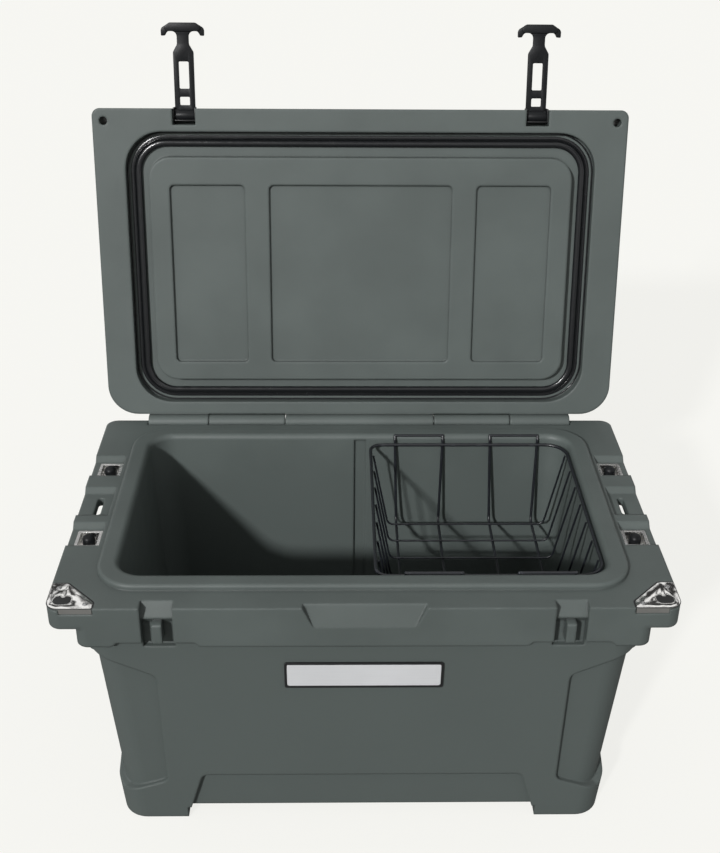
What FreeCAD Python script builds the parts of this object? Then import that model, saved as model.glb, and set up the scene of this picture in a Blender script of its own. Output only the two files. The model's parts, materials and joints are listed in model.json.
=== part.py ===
"""Hard-walled picnic cooler with an open lid, two strap latches, rope handles and a wire basket.

Millimetres, +Z up, +X to the right of someone facing the front, -Y is the front.
The origin is on the floor under the middle of the tub. The lid is stored standing open.
"""
import FreeCAD, Part
import Sketcher
import math
import os
import re

Vector = FreeCAD.Vector

SIZES = [
    # tub body
    ("rim_width", 660.0), ("rim_depth", 400.0), ("rim_height", 325.0), ("rim_corner", 14.0),
    ("wing_reach", 27.0), ("band_height", 50.0), ("wing_height", 28.0), ("wing_round", 4.0),
    ("band_step", 5.0), ("band_lip", 7.0), ("wall_draft", 17.0),
    ("body_corner", 30.0), ("foot_height", 17.0), ("foot_lift", 1.5),
    ("foot_length", 78.0), ("foot_width", 66.0),
    # cavity and ring
    ("wall_side", 33.0), ("wall_front", 45.0), ("cavity_taper", 13.0), ("cavity_corner", 28.0),
    ("floor_height", 55.0), ("floor_round", 12.0),
    ("ring_side", 22.0), ("ring_front", 21.5), ("ring_height", 7.0), ("ring_corner", 44.0),
    ("ring_lip", 6.0), ("ring_round", 3.5), ("groove_width", 15.0), ("groove_depth", 3.0),
    # walls and foam
    ("wall_thick", 5.0), ("foam_inset", 10.0), ("foam_gap", 0.3), ("fill_hole", 30.0), ("fill_offset",
                                                                                        110.0),
    # moulded panels of the walls
    ("panel_depth", 6.0), ("panel_inner", 75.0), ("panel_fall", 99.0), ("panel_low", 62.0),
    ("panel_rise", 52.0), ("panel_drop", 38.0), ("panel_round", 12.0), ("roof_fall", 63.0),
    ("arch_margin", 4.0), ("arch_slope", 16.0), ("arch_height", 72.0), ("arch_round", 9.0),
    # scoop, keepers
    ("scoop_top", 130.0), ("scoop_base", 107.0), ("scoop_drop", 25.0), ("scoop_deep", 8.0),
    ("latch_margin", 114.0), ("slot_width", 34.0), ("slot_depth", 14.0), ("slot_ramp", 8.0),
    ("ramp_drop", 17.0), ("ramp_tall", 10.0),
    ("prong_width", 10.0), ("prong_top", 19.5), ("prong_base", 45.0), ("prong_tip", 2.0), ("prong_root",
                                                                                           1.0),
    ("notch_out", 50.0), ("notch_in", 44.0), ("notch_rise", 5.0), ("notch_slope", 6.0),
    # wings
    ("wing_pocket", 6.0), ("pocket_margin", 37.0), ("slope_run", 7.0), ("hollow_margin", 30.0),
    ("hollow_wall", 13.0), ("hollow_roof", 16.0), ("hollow_front", 128.0), ("hollow_rear", 148.0),
    ("cup_mid", 8.0), ("cup_pitch", 148.0), ("pocket_half", 20.0),
    ("middle_half", 27.0), ("tie_shift", 6.0), ("tie_length", 35.0), ("tie_width", 8.0),
    # cups, ropes, grips
    ("cup_width", 28.0), ("cup_length", 32.0), ("cup_flange", 1.2), ("cup_wall", 2.5), ("cup_bottom", 1.2),
    ("rope_thick", 8.0), ("stopper_thick", 14.0), ("stopper_rise", 4.6),
    ("rope_drop", 36.0), ("rope_neck", 4.0), ("rope_point", 0.5), ("fit_gap", 0.3),
    ("grip_thick", 25.0), ("grip_length", 78.0), ("grip_play", 1.5), ("grip_waist", 22.0), ("grip_hang",
                                                                                             64.2),
    # corner plates
    ("plate_long", 49.0), ("plate_short", 44.0), ("plate_clip_long", 17.0), ("plate_clip_short", 11.0),
    ("plate_thick", 2.5), ("plate_fold", 5.0), ("plate_wall", 1.6), ("plate_seat", 0.2),
    ("lock_inset", 16.0), ("lock_back", 15.0),
    ("lock_hole", 10.0), ("lock_oval", 18.0), ("lock_oval_wide", 14.0), ("screw_head", 7.0),
    ("screw_shank", 3.5), ("screw_length", 14.0), ("screw_edge", 9.0), ("screw_end", 8.0), ("sink_deep",
                                                                                            1.5),
    # hinge
    ("hinge_inset", 1.0), ("hinge_drop", 1.0), ("barrel_round", 9.0), ("barrel_margin", 54.0),
    ("barrel_side", 79.0), ("knuckle_length", 99.0), ("side_gap", 1.0), ("pin_thick", 8.0),
    ("pin_play", 0.05), ("pin_reach", 32.0), ("lid_open", 101.0),
    # lid
    ("lid_inset", 2.5), ("lid_rear_inset", 11.0), ("lid_thick", 55.0),
    ("lid_gap", 0.5), ("lid_corner", 10.0), ("lid_rear_corner", 38.0), ("lid_draft", 5.0),
    ("lid_round", 7.0), ("channel_play", 3.0), ("channel_deep", 12.5),
    ("channel_corner", 46.0), ("plug_side", 3.0), ("plug_front", 6.3), ("plug_corner", 27.0),
    ("lid_panel_deep", 3.5), ("panel_edge_front", 33.5), ("panel_edge_rear", 23.5), ("panel_edge_side",
                                                                                     25.0),
    ("lid_panel_round", 6.0), ("centre_panel", 114.0), ("panel_bar", 30.0),
    ("gasket_inset", 7.0), ("gasket_wall", 9.0), ("gasket_tall", 5.5),
    ("gasket_corner", 40.0), ("lid_slot_width", 28.0), ("lid_slot_deep", 19.5), ("lid_slot_tall", 30.0),
    ("lid_foam_corner", 24.0), ("lid_foam_front", 30.0), ("lid_foam_rear", 13.0), ("lid_fill", 16.0),
    ("lid_fill_height", 33.0), ("lid_top_panel", 2.5), ("lid_top_margin", 46.0), ("lid_top_corner", 26.0),
    # latches
    ("latch_inset", 9.0), ("latch_rise", 15.0), ("strap_width", 24.5), ("strap_near", 4.0),
    ("strap_thick", 6.0), ("strap_end", 74.0), ("stem_start", 82.0), ("stem_end", 98.0),
    ("stem_width", 14.5), ("tee_end", 108.0), ("tee_width", 52.0), ("tee_extra", 3.0), ("tee_root", 6.0),
    ("window_width", 12.5), ("window_near", 31.0), ("window_far", 63.0), ("gate_near", 11.5),
    ("gate_far", 21.5), ("eye_round", 7.0), ("latch_pin", 5.0), ("latch_pin_long", 46.0), ("soft_round",
                                                                                           3.0),
    # feet pads, badge, drain
    ("pad_length", 48.0), ("pad_depth", 40.0), ("pad_inset", 2.0), ("pad_margin_side", 45.0),
    ("pad_margin_front", 34.0), ("pad_corner", 6.0), ("pad_play", 0.1),
    ("badge_width", 171.0), ("badge_tall", 36.0), ("badge_fall", 96.0), ("badge_thick", 2.0),
    ("badge_border", 2.5), ("badge_play", 0.1), ("badge_lift", 0.05),
    ("drain_offset", 95.0), ("drain_lift", 14.0), ("drain_bore", 16.0),
    ("drain_tube", 23.0), ("drain_flange", 38.0), ("drain_flange_thick", 3.0), ("drain_plug_head", 30.0),
    ("drain_plug_tall", 7.0), ("drain_plug_long", 14.0), ("drain_grip", 12.6), ("drain_grip_half", 3.0),
    ("drain_nut", 34.0), ("drain_nut_thick", 5.0), ("drain_gasket", 2.0), ("drain_proud", 1.0),
    ("drain_seat", 3.0), ("drain_guard", 38.0),
    # basket
    ("basket_left", 13.0), ("basket_side", 4.0), ("basket_front", 7.8), ("basket_drop", 2.5),
    ("basket_deep", 103.0), ("basket_taper", 20.0), ("rim_rod", 4.0), ("rib_rod", 2.5), ("leg_rod", 3.5),
    ("near_corner", 14.0), ("far_corner", 26.0), ("rib_pitch", 37.5), ("rib_count", 7.0), ("rib_bend", 9.0),
    ("first_loop", 31.5), ("second_loop", 95.0), ("loop_width", 61.0), ("hook_bend", 3.0), ("hook_knee", 1.5), ("loop_lean",
                                                                                            3.0),
]

# Places and sizes that follow from the ones above.
DERIVED = {
    "rope_hole": "rope_thick + 2 * fit_gap",
    "grip_bore": "rope_thick + 2 * grip_play",
    "band_width": "rim_width - 2 * wing_reach",
    "band_low": "rim_height - band_height",
    "top_width": "band_width - 2 * band_step",
    "top_depth": "rim_depth - 2 * band_lip",
    "base_width": "top_width - 2 * wall_draft",
    "base_depth": "top_depth - 2 * wall_draft",
    "cavity_width": "top_width - 2 * wall_side",
    "cavity_depth": "top_depth - 2 * wall_front",
    "ring_width": "cavity_width + 2 * ring_side",
    "ring_depth": "cavity_depth + 2 * ring_front",
    "ring_top": "rim_height + ring_height",
    "foot_inner_x": "base_width / 2 - foot_length",
    "foot_inner_y": "base_depth / 2 - foot_width",
    "pad_x": "base_width / 2 - pad_margin_side",
    "pad_y": "base_depth / 2 - pad_margin_front",
    "panel_top": "rim_height - panel_fall",
    "panel_roof": "rim_height - roof_fall",
    "badge_height": "rim_height - badge_fall",
    "latch_x": "rim_width / 2 - latch_margin",
    "latch_y": "lid_front - latch_inset",
    "pocket_inner": "rim_width / 2 - pocket_margin",
    "hollow_inner": "rim_width / 2 - hollow_margin",
    "hollow_outer": "rim_width / 2 - hollow_wall",
    "cup_x": "(hollow_inner + hollow_outer) / 2",
    "rope_pivot": "rim_height - rope_drop",
    "lock_x": "rim_width / 2 - lock_inset",
    "lock_y": "rim_depth / 2 - lock_back",
    "hinge_y": "rim_depth / 2 - hinge_inset",
    "hinge_height": "rim_height - hinge_drop",
    "barrel_end": "rim_width / 2 - barrel_margin",
    "knuckle_out": "barrel_end - barrel_side",
    "knuckle_in": "knuckle_out - knuckle_length",
    "pin_inner": "knuckle_in - pin_reach",
    "lid_low": "rim_height + lid_gap",
    "lid_width": "rim_width - 2 * lid_inset",
    "lid_front": "rim_depth / 2",
    "lid_rear": "rim_depth / 2 - lid_rear_inset",
    "channel_width": "ring_width + 2 * channel_play",
    "channel_depth": "ring_depth + 2 * channel_play",
    "plug_width": "cavity_width - 2 * plug_side",
    "plug_depth": "cavity_depth - 2 * plug_front",
    "gasket_width": "ring_width - 2 * gasket_inset",
    "gasket_depth": "ring_depth - 2 * gasket_inset",
    "lid_panel_front": "plug_depth / 2 - panel_edge_front",
    "lid_panel_rear": "plug_depth / 2 - panel_edge_rear",
    "side_panel_in": "centre_panel + panel_bar",
    "side_panel_out": "plug_width / 2 - panel_edge_side",
    "drain_height": "floor_height + drain_lift",
    "drain_out": "base_width / 2 + drain_proud",
    "drain_in": "cavity_width / 2 - cavity_taper + drain_seat",
    "basket_right": "cavity_width / 2 - basket_side",
    "basket_half": "cavity_depth / 2 - basket_front",
    "loop_one": "basket_left + first_loop",
    "loop_two": "basket_right - second_loop",
}

doc = FreeCAD.newDocument("cooler")
sheet = doc.addObject("Spreadsheet::Sheet", "Sizes")
for row, (alias, number) in enumerate(SIZES, 1):
    sheet.set("A%d" % row, alias)
    sheet.set("B%d" % row, str(number))
    sheet.setAlias("B%d" % row, alias)
doc.recompute()

NODES = {}


def spell_out(text):
    """An expression with every derived name put in the sheet's own sizes."""
    def meaning(found):
        name = found.group(0)
        return "(%s)" % spell_out(DERIVED[name]) if name in DERIVED else name

    return re.sub(r"\b[a-z]+(?:_[a-z]+)+\b", meaning, str(text))


def bound(text):
    """The expression with every size name pointed at the sheet."""
    return re.sub(r"\b[a-z]+(?:_[a-z]+)+\b", r"Sizes.\g<0>", spell_out(text))


def value(text):
    """What an expression of size names comes to, in millimetres."""
    return float(sheet.evalExpression(spell_out(text)))


def new_body(label):
    body = doc.addObject("PartDesign::Body", label)
    body.Label = label
    return body


def keep(label, thing):
    """Make an object a node of its own."""
    thing.Label = label
    NODES[label] = thing
    return thing


def new_sketch(body, name, plane, height="0"):
    """A sketch on one of the body's own origin planes, lifted along the plane's normal."""
    sketch = body.newObject("Sketcher::SketchObject", name)
    support = [item for item in body.Origin.OriginFeatures if item.Role == plane][0]
    sketch.AttachmentSupport = (support, "")
    sketch.MapMode = "FlatFace"
    sketch.AttachmentOffset = FreeCAD.Placement(Vector(0, 0, value(height)), FreeCAD.Rotation())
    sketch.setExpression("AttachmentOffset.Base.z", bound(height))
    return sketch


def drive(sketch, constraint, text):
    """Add a dimension and tie it to the sheet."""
    index = sketch.addConstraint(constraint)
    if re.search("[a-z]", str(text)):
        sketch.setExpression("Constraints[%d]" % index, bound(text))
    return index


def pin_point(sketch, geometry, position, across, along):
    """Hold one point of the sketch at two driven distances from the origin."""
    drive(sketch, Sketcher.Constraint("DistanceX", -1, 1, geometry, position, value(across)), across)
    drive(sketch, Sketcher.Constraint("DistanceY", -1, 1, geometry, position, value(along)), along)


def draw_outline(sketch, corners):
    """Closed outline through (across, along, radius) corners, each one an expression."""
    places = [Vector(value(item[0]), value(item[1]), 0) for item in corners]
    radii = [value(item[2]) if len(item) > 2 else 0.0 for item in corners]
    count = len(corners)
    spans = []
    for index in range(count):
        before = (places[index - 1] - places[index]).normalize()
        after = (places[(index + 1) % count] - places[index]).normalize()
        half = 0.5 * before.getAngle(after)
        spans.append((before, after, radii[index] / math.tan(half) if radii[index] else 0.0, half))
    lines = []
    for index in range(count):
        follow = (index + 1) % count
        start = places[index] + spans[index][1] * spans[index][2]
        end = places[follow] + spans[follow][0] * spans[follow][2]
        lines.append(sketch.addGeometry(Part.LineSegment(start, end), False))
    for index in range(count):
        before, after, reach, half = spans[index]
        incoming = lines[index - 1]
        outgoing = lines[index]
        if not radii[index]:
            sketch.addConstraint(Sketcher.Constraint("Coincident", incoming, 2, outgoing, 1))
            pin_point(sketch, outgoing, 1, corners[index][0], corners[index][1])
            continue
        middle = (before + after).normalize()
        centre = places[index] + middle * (radii[index] / math.sin(half))
        first = places[index] + before * reach - centre
        last = places[index] + after * reach - centre
        left_turn = before.cross(after).z < 0
        low, high = (first, last) if left_turn else (last, first)
        angles = [math.atan2(low.y, low.x), math.atan2(high.y, high.x)]
        if angles[1] < angles[0]:
            angles[1] += 2.0 * math.pi
        circle = Part.Circle(centre, Vector(0, 0, 1), radii[index])
        arc = sketch.addGeometry(Part.ArcOfCircle(circle, angles[0], angles[1]), False)
        ends = (1, 2) if left_turn else (2, 1)
        sketch.addConstraint(Sketcher.Constraint("Tangent", incoming, 2, arc, ends[0]))
        sketch.addConstraint(Sketcher.Constraint("Tangent", arc, ends[1], outgoing, 1))
        drive(sketch, Sketcher.Constraint("Radius", arc, radii[index]), corners[index][2])
        point = sketch.addGeometry(Part.Point(places[index]), True)
        sketch.addConstraint(Sketcher.Constraint("PointOnObject", point, 1, incoming))
        sketch.addConstraint(Sketcher.Constraint("PointOnObject", point, 1, outgoing))
        pin_point(sketch, point, 1, corners[index][0], corners[index][1])


def box_corners(left, right, low, high, radius="0"):
    """Corners of a rectangle, counter-clockwise."""
    if radius == "0":
        return [(left, low), (right, low), (right, high), (left, high)]
    return [(left, low, radius), (right, low, radius), (right, high, radius), (left, high, radius)]


def centred(width, depth, radius="0", shrink="0"):
    """Corners of a rectangle about the origin, drawn in by a margin."""
    across = "(%s) / 2 - (%s)" % (width, shrink)
    along = "(%s) / 2 - (%s)" % (depth, shrink)
    return box_corners("-(%s)" % across, across, "-(%s)" % along, along, radius)


def draw_circle(sketch, across, along, diameter):
    circle = Part.Circle(Vector(value(across), value(along), 0), Vector(0, 0, 1), value(diameter) / 2.0)
    index = sketch.addGeometry(circle, False)
    pin_point(sketch, index, 3, across, along)
    drive(sketch, Sketcher.Constraint("Diameter", index, value(diameter)), diameter)


def outline_sketch(body, name, plane, height, *outlines):
    sketch = new_sketch(body, name, plane, height)
    for corners in outlines:
        draw_outline(sketch, corners)
    return sketch


def circle_sketch(body, name, plane, height, *circles):
    sketch = new_sketch(body, name, plane, height)
    for across, along, diameter in circles:
        draw_circle(sketch, across, along, diameter)
    return sketch


def extrude(body, kind, name, sketch, length, backwards=False, both_ways=False, taper=None):
    """Pad or Pocket of a driven length; a Pocket is checked for having cut something."""
    doc.recompute()
    before = body.Shape.Volume if body.Tip else 0.0
    feature = body.newObject("PartDesign::" + kind, name)
    feature.Profile = sketch
    feature.Length = value(length)
    feature.setExpression("Length", bound(length))
    feature.Reversed = backwards
    feature.Midplane = both_ways
    if taper:
        feature.TaperAngle = value(taper)
        feature.setExpression("TaperAngle", bound(taper))
    doc.recompute()
    change = body.Shape.Volume - before
    if (kind == "Pocket" and change > -0.5) or (kind == "Pad" and change < 0.5):
        raise ValueError("%s changed nothing: %.3f" % (name, change))
    return feature


def loft(body, kind, name, sketches):
    feature = body.newObject("PartDesign::" + kind, name)
    feature.Profile = sketches[0]
    feature.Sections = sketches[1:]
    feature.Ruled = True
    doc.recompute()
    return feature


def round_edges(body, name, radius, test):
    """Fillet the edges of the body for which the test is true."""
    doc.recompute()
    base = body.Tip
    names = ["Edge%d" % (n + 1) for n, edge in enumerate(base.Shape.Edges) if test(edge)]
    feature = body.newObject("PartDesign::Fillet", name)
    feature.Base = (base, names)
    feature.Radius = value(radius)
    feature.setExpression("Radius", bound(radius))
    doc.recompute()
    if not body.Shape.isValid():
        raise ValueError("%s is not valid" % name)
    return feature


def at_height(height, inside=None):
    """A test for edges that lie level at a height, within a half-width and half-depth."""
    level = value(height)

    def test(edge):
        box = edge.BoundBox
        if abs(box.ZMin - level) > 0.01 or abs(box.ZMax - level) > 0.01:
            return False
        if inside is None:
            return True
        half_x, half_y = value(inside[0]) + 0.01, value(inside[1]) + 0.01
        return max(abs(box.XMin), abs(box.XMax)) < half_x and max(abs(box.YMin), abs(box.YMax)) < half_y

    return test


def boolean(kind, name, base, tool):
    result = doc.addObject("Part::" + kind, name)
    result.Base = base
    result.Tool = tool
    return result


# ---------------------------------------------------------------- tub

def wall_shrink(height):
    """How far the drafted outer wall stands in from the top outline at a height, per side."""
    return "wall_draft * (1 - (%s) / band_low)" % height


def body_outline(body, name, height, shrink):
    """Outline of the drafted wall at a height, drawn in by a margin."""
    margin = "%s + (%s)" % (wall_shrink(height), shrink)
    return outline_sketch(body, name, "XY_Plane", height,
                          centred("top_width", "top_depth", "body_corner", margin))


def cavity_outline(body, name, height, grow):
    """Outline of the tapered cavity at a height, drawn out by a margin."""
    taper = "cavity_taper * (ring_top - (%s)) / (ring_top - floor_height)" % height
    return outline_sketch(body, name, "XY_Plane", height,
                          centred("cavity_width", "cavity_depth", "cavity_corner",
                                  "%s - (%s)" % (taper, grow)))


def foam_core(label, gap):
    """The foam's shape between the two walls of the tub, drawn in by a gap all round."""
    body = new_body(label)
    low = "foot_height + wall_thick + (%s)" % gap
    high = "rim_height - wall_thick - (%s)" % gap
    inset = "foam_inset + (%s)" % gap
    loft(body, "AdditiveLoft", label + "_wedge",
         [body_outline(body, label + "_low", low, inset),
          body_outline(body, label + "_mid", "band_low", inset)])
    top = outline_sketch(body, label + "_top", "XY_Plane", "band_low",
                         centred("top_width", "top_depth", "body_corner", inset))
    extrude(body, "Pad", label + "_collar", top, "%s - (%s)" % (high, "band_low"))
    loft(body, "SubtractiveLoft", label + "_inside",
         [cavity_outline(body, label + "_in_top", "ring_top", "wall_thick + (%s)" % gap),
          cavity_outline(body, label + "_in_low", "floor_height - wall_thick - (%s)" % gap,
                         "wall_thick + (%s)" % gap)])
    sleeve = circle_sketch(body, label + "_drain", "YZ_Plane", "top_width / 2",
                           ("drain_offset", "drain_height", "drain_guard + (%s) * 2" % gap))
    extrude(body, "Pocket", label + "_sleeve", sleeve, "top_width / 4")
    return body


def build_tub_solid():
    """The outside of the tub with its cavity, wings, knuckles, keepers and holes."""
    body = new_body("tub_solid")
    loft(body, "AdditiveLoft", "walls",
         [body_outline(body, "wall_low", "foot_lift", "0"),
          body_outline(body, "wall_high", "band_low", "0")])
    band = outline_sketch(body, "band_outline", "XY_Plane", "band_low",
                          centred("band_width", "rim_depth", "rim_corner"))
    extrude(body, "Pad", "band", band, "band_height")
    wings = outline_sketch(body, "wing_outline", "XY_Plane", "rim_height - wing_height",
                           centred("rim_width", "rim_depth", "rim_corner"))
    extrude(body, "Pad", "wings", wings, "wing_height")
    ring = outline_sketch(body, "ring_outline", "XY_Plane", "rim_height",
                          centred("ring_width", "ring_depth", "ring_corner"))
    extrude(body, "Pad", "ring", ring, "ring_height")
    round_edges(body, "wing_rounds", "wing_round", at_height("rim_height - wing_height"))
    loft(body, "SubtractiveLoft", "cavity",
         [cavity_outline(body, "cavity_top", "ring_top", "0"),
          cavity_outline(body, "cavity_low", "floor_height", "0")])
    round_edges(body, "floor_rounds", "floor_round",
                at_height("floor_height", ("cavity_width / 2", "cavity_depth / 2")))
    ring_top = at_height("ring_top")
    inner = at_height("ring_top", ("cavity_width / 2", "cavity_depth / 2"))
    round_edges(body, "lip_rounds", "ring_lip", inner)
    round_edges(body, "ring_rounds", "ring_round",
                lambda edge: ring_top(edge) and not inner(edge))
    cut_underside(body)
    cut_divider_grooves(body)
    cut_front(body)
    cut_wings(body)
    add_knuckles(body)
    cut_holes(body)
    return body


def cut_underside(body):
    """Leave four feet standing under the floor."""
    for name, half_x, half_y in (("foot_gap_x", "foot_inner_x", "rim_depth"),
                                 ("foot_gap_y", "rim_width", "foot_inner_y")):
        sketch = outline_sketch(body, name, "XY_Plane", "foot_height",
                                centred("2 * " + half_x, "2 * " + half_y))
        extrude(body, "Pocket", name + "_cut", sketch, "foot_height")


def cut_divider_grooves(body):
    """Upright grooves in the front and back of the cavity that hold a divider board."""
    outlines = []
    for name, level in (("groove_high", "rim_height"), ("groove_low", "floor_height + floor_round")):
        reach = "cavity_depth - 2 * cavity_taper * (ring_top - (%s)) / (ring_top - floor_height)" % level
        outlines.append(outline_sketch(body, name, "XY_Plane", level,
                                       centred("groove_width", "%s + 2 * groove_depth" % reach, "1")))
    loft(body, "SubtractiveLoft", "grooves", outlines)


def cut_front(body):
    """Latch slots with their prongs, the thumb scoop and the stepped lower edge of the band."""
    front = "rim_depth / 2"
    beyond = "rim_depth / 2 + 20"
    for side, mark in ((-1, "left"), (1, "right")):
        centre = "%d * latch_x" % side
        slot = outline_sketch(body, "slot_" + mark, "XZ_Plane", beyond,
                              box_corners(centre + " - slot_width / 2", centre + " + slot_width / 2",
                                          "band_low - 5", "rim_height + 1"))
        extrude(body, "Pocket", "slot_cut_" + mark, slot, "20 + slot_depth")
        ramp = outline_sketch(body, "ramp_" + mark, "YZ_Plane", centre,
                              [("-(%s) + slot_depth" % front, "rim_height - ramp_drop - ramp_tall"),
                               ("-(%s) + slot_depth" % front, "rim_height - 0.2"),
                               ("-(%s) + slot_depth - slot_ramp" % front, "rim_height - ramp_drop")])
        extrude(body, "Pad", "ramp_pad_" + mark, ramp, "slot_width", both_ways=True)
        prong = outline_sketch(body, "prong_" + mark, "YZ_Plane", centre,
                               [("-(%s) + slot_depth + prong_root" % front, "rim_height - prong_base"),
                                ("-(%s) + slot_depth + prong_root" % front, "rim_height - prong_top"),
                                ("-(%s) - prong_tip" % front, "rim_height - prong_top - 1", "2"),
                                ("-(%s) - prong_tip" % front, "rim_height - prong_base", "2")][::-1])
        extrude(body, "Pad", "prong_pad_" + mark, prong, "prong_width", both_ways=True)
        low = outline_sketch(body, "notch_" + mark, "XZ_Plane", beyond,
                             [("%d * (latch_x + notch_out)" % side, "band_low - 1"),
                              ("%d * (latch_x - notch_in)" % side, "band_low - 1"),
                              ("%d * (latch_x - notch_in + notch_slope)" % side, "band_low + notch_rise"),
                              ("%d * (latch_x + notch_out - notch_slope)" % side, "band_low + notch_rise")])
        extrude(body, "Pocket", "notch_cut_" + mark, low, "20 + (rim_depth - top_depth) / 2 - 0.4")
    scoop = []
    for name, level, half, deep in (("scoop_high", "rim_height", "scoop_top / 2", "scoop_deep"),
                                    ("scoop_low", "rim_height - scoop_drop", "scoop_base / 2", "0.2")):
        scoop.append(outline_sketch(body, name, "XY_Plane", level,
                                    box_corners("-(%s)" % half, half, "-(%s)" % beyond,
                                                "-(%s) + %s" % (front, deep))))
    loft(body, "SubtractiveLoft", "scoop", scoop)


def cut_wings(body):
    """Pockets for the handle cups, the tie-down slots and the hollows under the wings."""
    half = "pocket_half"
    places = [("cup_mid + cup_pitch / 2", half), ("cup_mid - tie_shift", "middle_half"),
              ("cup_mid - cup_pitch / 2", half)]
    over = "rim_height + 5"
    base = "rim_height - wing_pocket"
    for side, mark in ((-1, "left"), (1, "right")):
        start = "-pocket_inner" if side < 0 else "rim_width / 2 + hollow_wall"
        outlines = []
        for centre, reach in places:
            outlines.append([("%s - %s" % (centre, reach), base), ("%s + %s" % (centre, reach), base),
                             ("%s + %s + slope_run" % (centre, reach), "rim_height"),
                             ("%s + %s + slope_run" % (centre, reach), over),
                             ("%s - %s" % (centre, reach), over)])
        pockets = outline_sketch(body, "pockets_" + mark, "YZ_Plane", start, *outlines)
        extrude(body, "Pocket", "pocket_cut_" + mark, pockets, "pocket_margin + hollow_wall")
        near, far = "%d * hollow_inner" % side, "%d * hollow_outer" % side
        left, right = (far, near) if side < 0 else (near, far)
        hollow = outline_sketch(body, "hollow_" + mark, "XY_Plane", "rim_height - hollow_roof",
                                box_corners(left, right, "-hollow_front", "hollow_rear", "3"))
        extrude(body, "Pocket", "hollow_cut_" + mark, hollow, "band_height")
        wells = []
        for sign in ("+", "-"):
            centre = "cup_mid %s cup_pitch / 2" % sign
            gap = "fit_gap - cup_wall"
            wells.append(box_corners("%d * cup_x - cup_width / 2 - (%s)" % (side, gap),
                                     "%d * cup_x + cup_width / 2 + (%s)" % (side, gap),
                                     "%s - cup_length / 2 - (%s)" % (centre, gap),
                                     "%s + cup_length / 2 + (%s)" % (centre, gap)))
        middle = "%d * cup_x" % side
        ties = box_corners(middle + " - tie_width / 2", middle + " + tie_width / 2",
                           "cup_mid - tie_shift - tie_length / 2",
                           "cup_mid - tie_shift + tie_length / 2", "tie_width * 0.45")
        holes = outline_sketch(body, "wells_" + mark, "XY_Plane", "rim_height", ties, *wells)
        extrude(body, "Pocket", "well_cut_" + mark, holes, "hollow_roof + 1")


def add_knuckles(body):
    """Notch the rear edge for the lid's barrels and stand the tub's two knuckles in it."""
    notch = outline_sketch(body, "hinge_notch", "XY_Plane", "rim_height + 1",
                           box_corners("-(barrel_end + side_gap)", "barrel_end + side_gap",
                                       "hinge_y - barrel_round - side_gap * 1.5", "rim_depth / 2 + 20"))
    extrude(body, "Pocket", "hinge_notch_cut", notch,
            "rim_height + 1 - hinge_height + barrel_round + side_gap * 2")
    left = "hinge_y - barrel_round"
    right = "hinge_y + barrel_round"
    top = "hinge_height + barrel_round"
    for side, mark in ((-1, "left"), (1, "right")):
        profile = outline_sketch(body, "knuckle_" + mark, "YZ_Plane",
                                 "%d * (knuckle_in + knuckle_out) / 2" % side,
                                 [(left + " - 3", "hinge_height - barrel_round * 2.2"),
                                  ("rim_depth / 2 - 1", "hinge_height - barrel_round * 2.2"),
                                  (right, "hinge_height - 4"), (right, top, "barrel_round * 0.97"),
                                  (left, top, "barrel_round * 0.97"), (left,
                                                                       "hinge_height - barrel_round * 1.3"),
                                  (left + " - 3", "hinge_height - barrel_round * 1.3")])
        extrude(body, "Pad", "knuckle_pad_" + mark, profile, "knuckle_out - knuckle_in", both_ways=True)
    bore = circle_sketch(body, "hinge_bore", "YZ_Plane", "0",
                         ("hinge_y", "hinge_height", "pin_thick + pin_play * 2"))
    extrude(body, "Pocket", "hinge_bore_cut", bore, "2 * barrel_end", both_ways=True)


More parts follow.
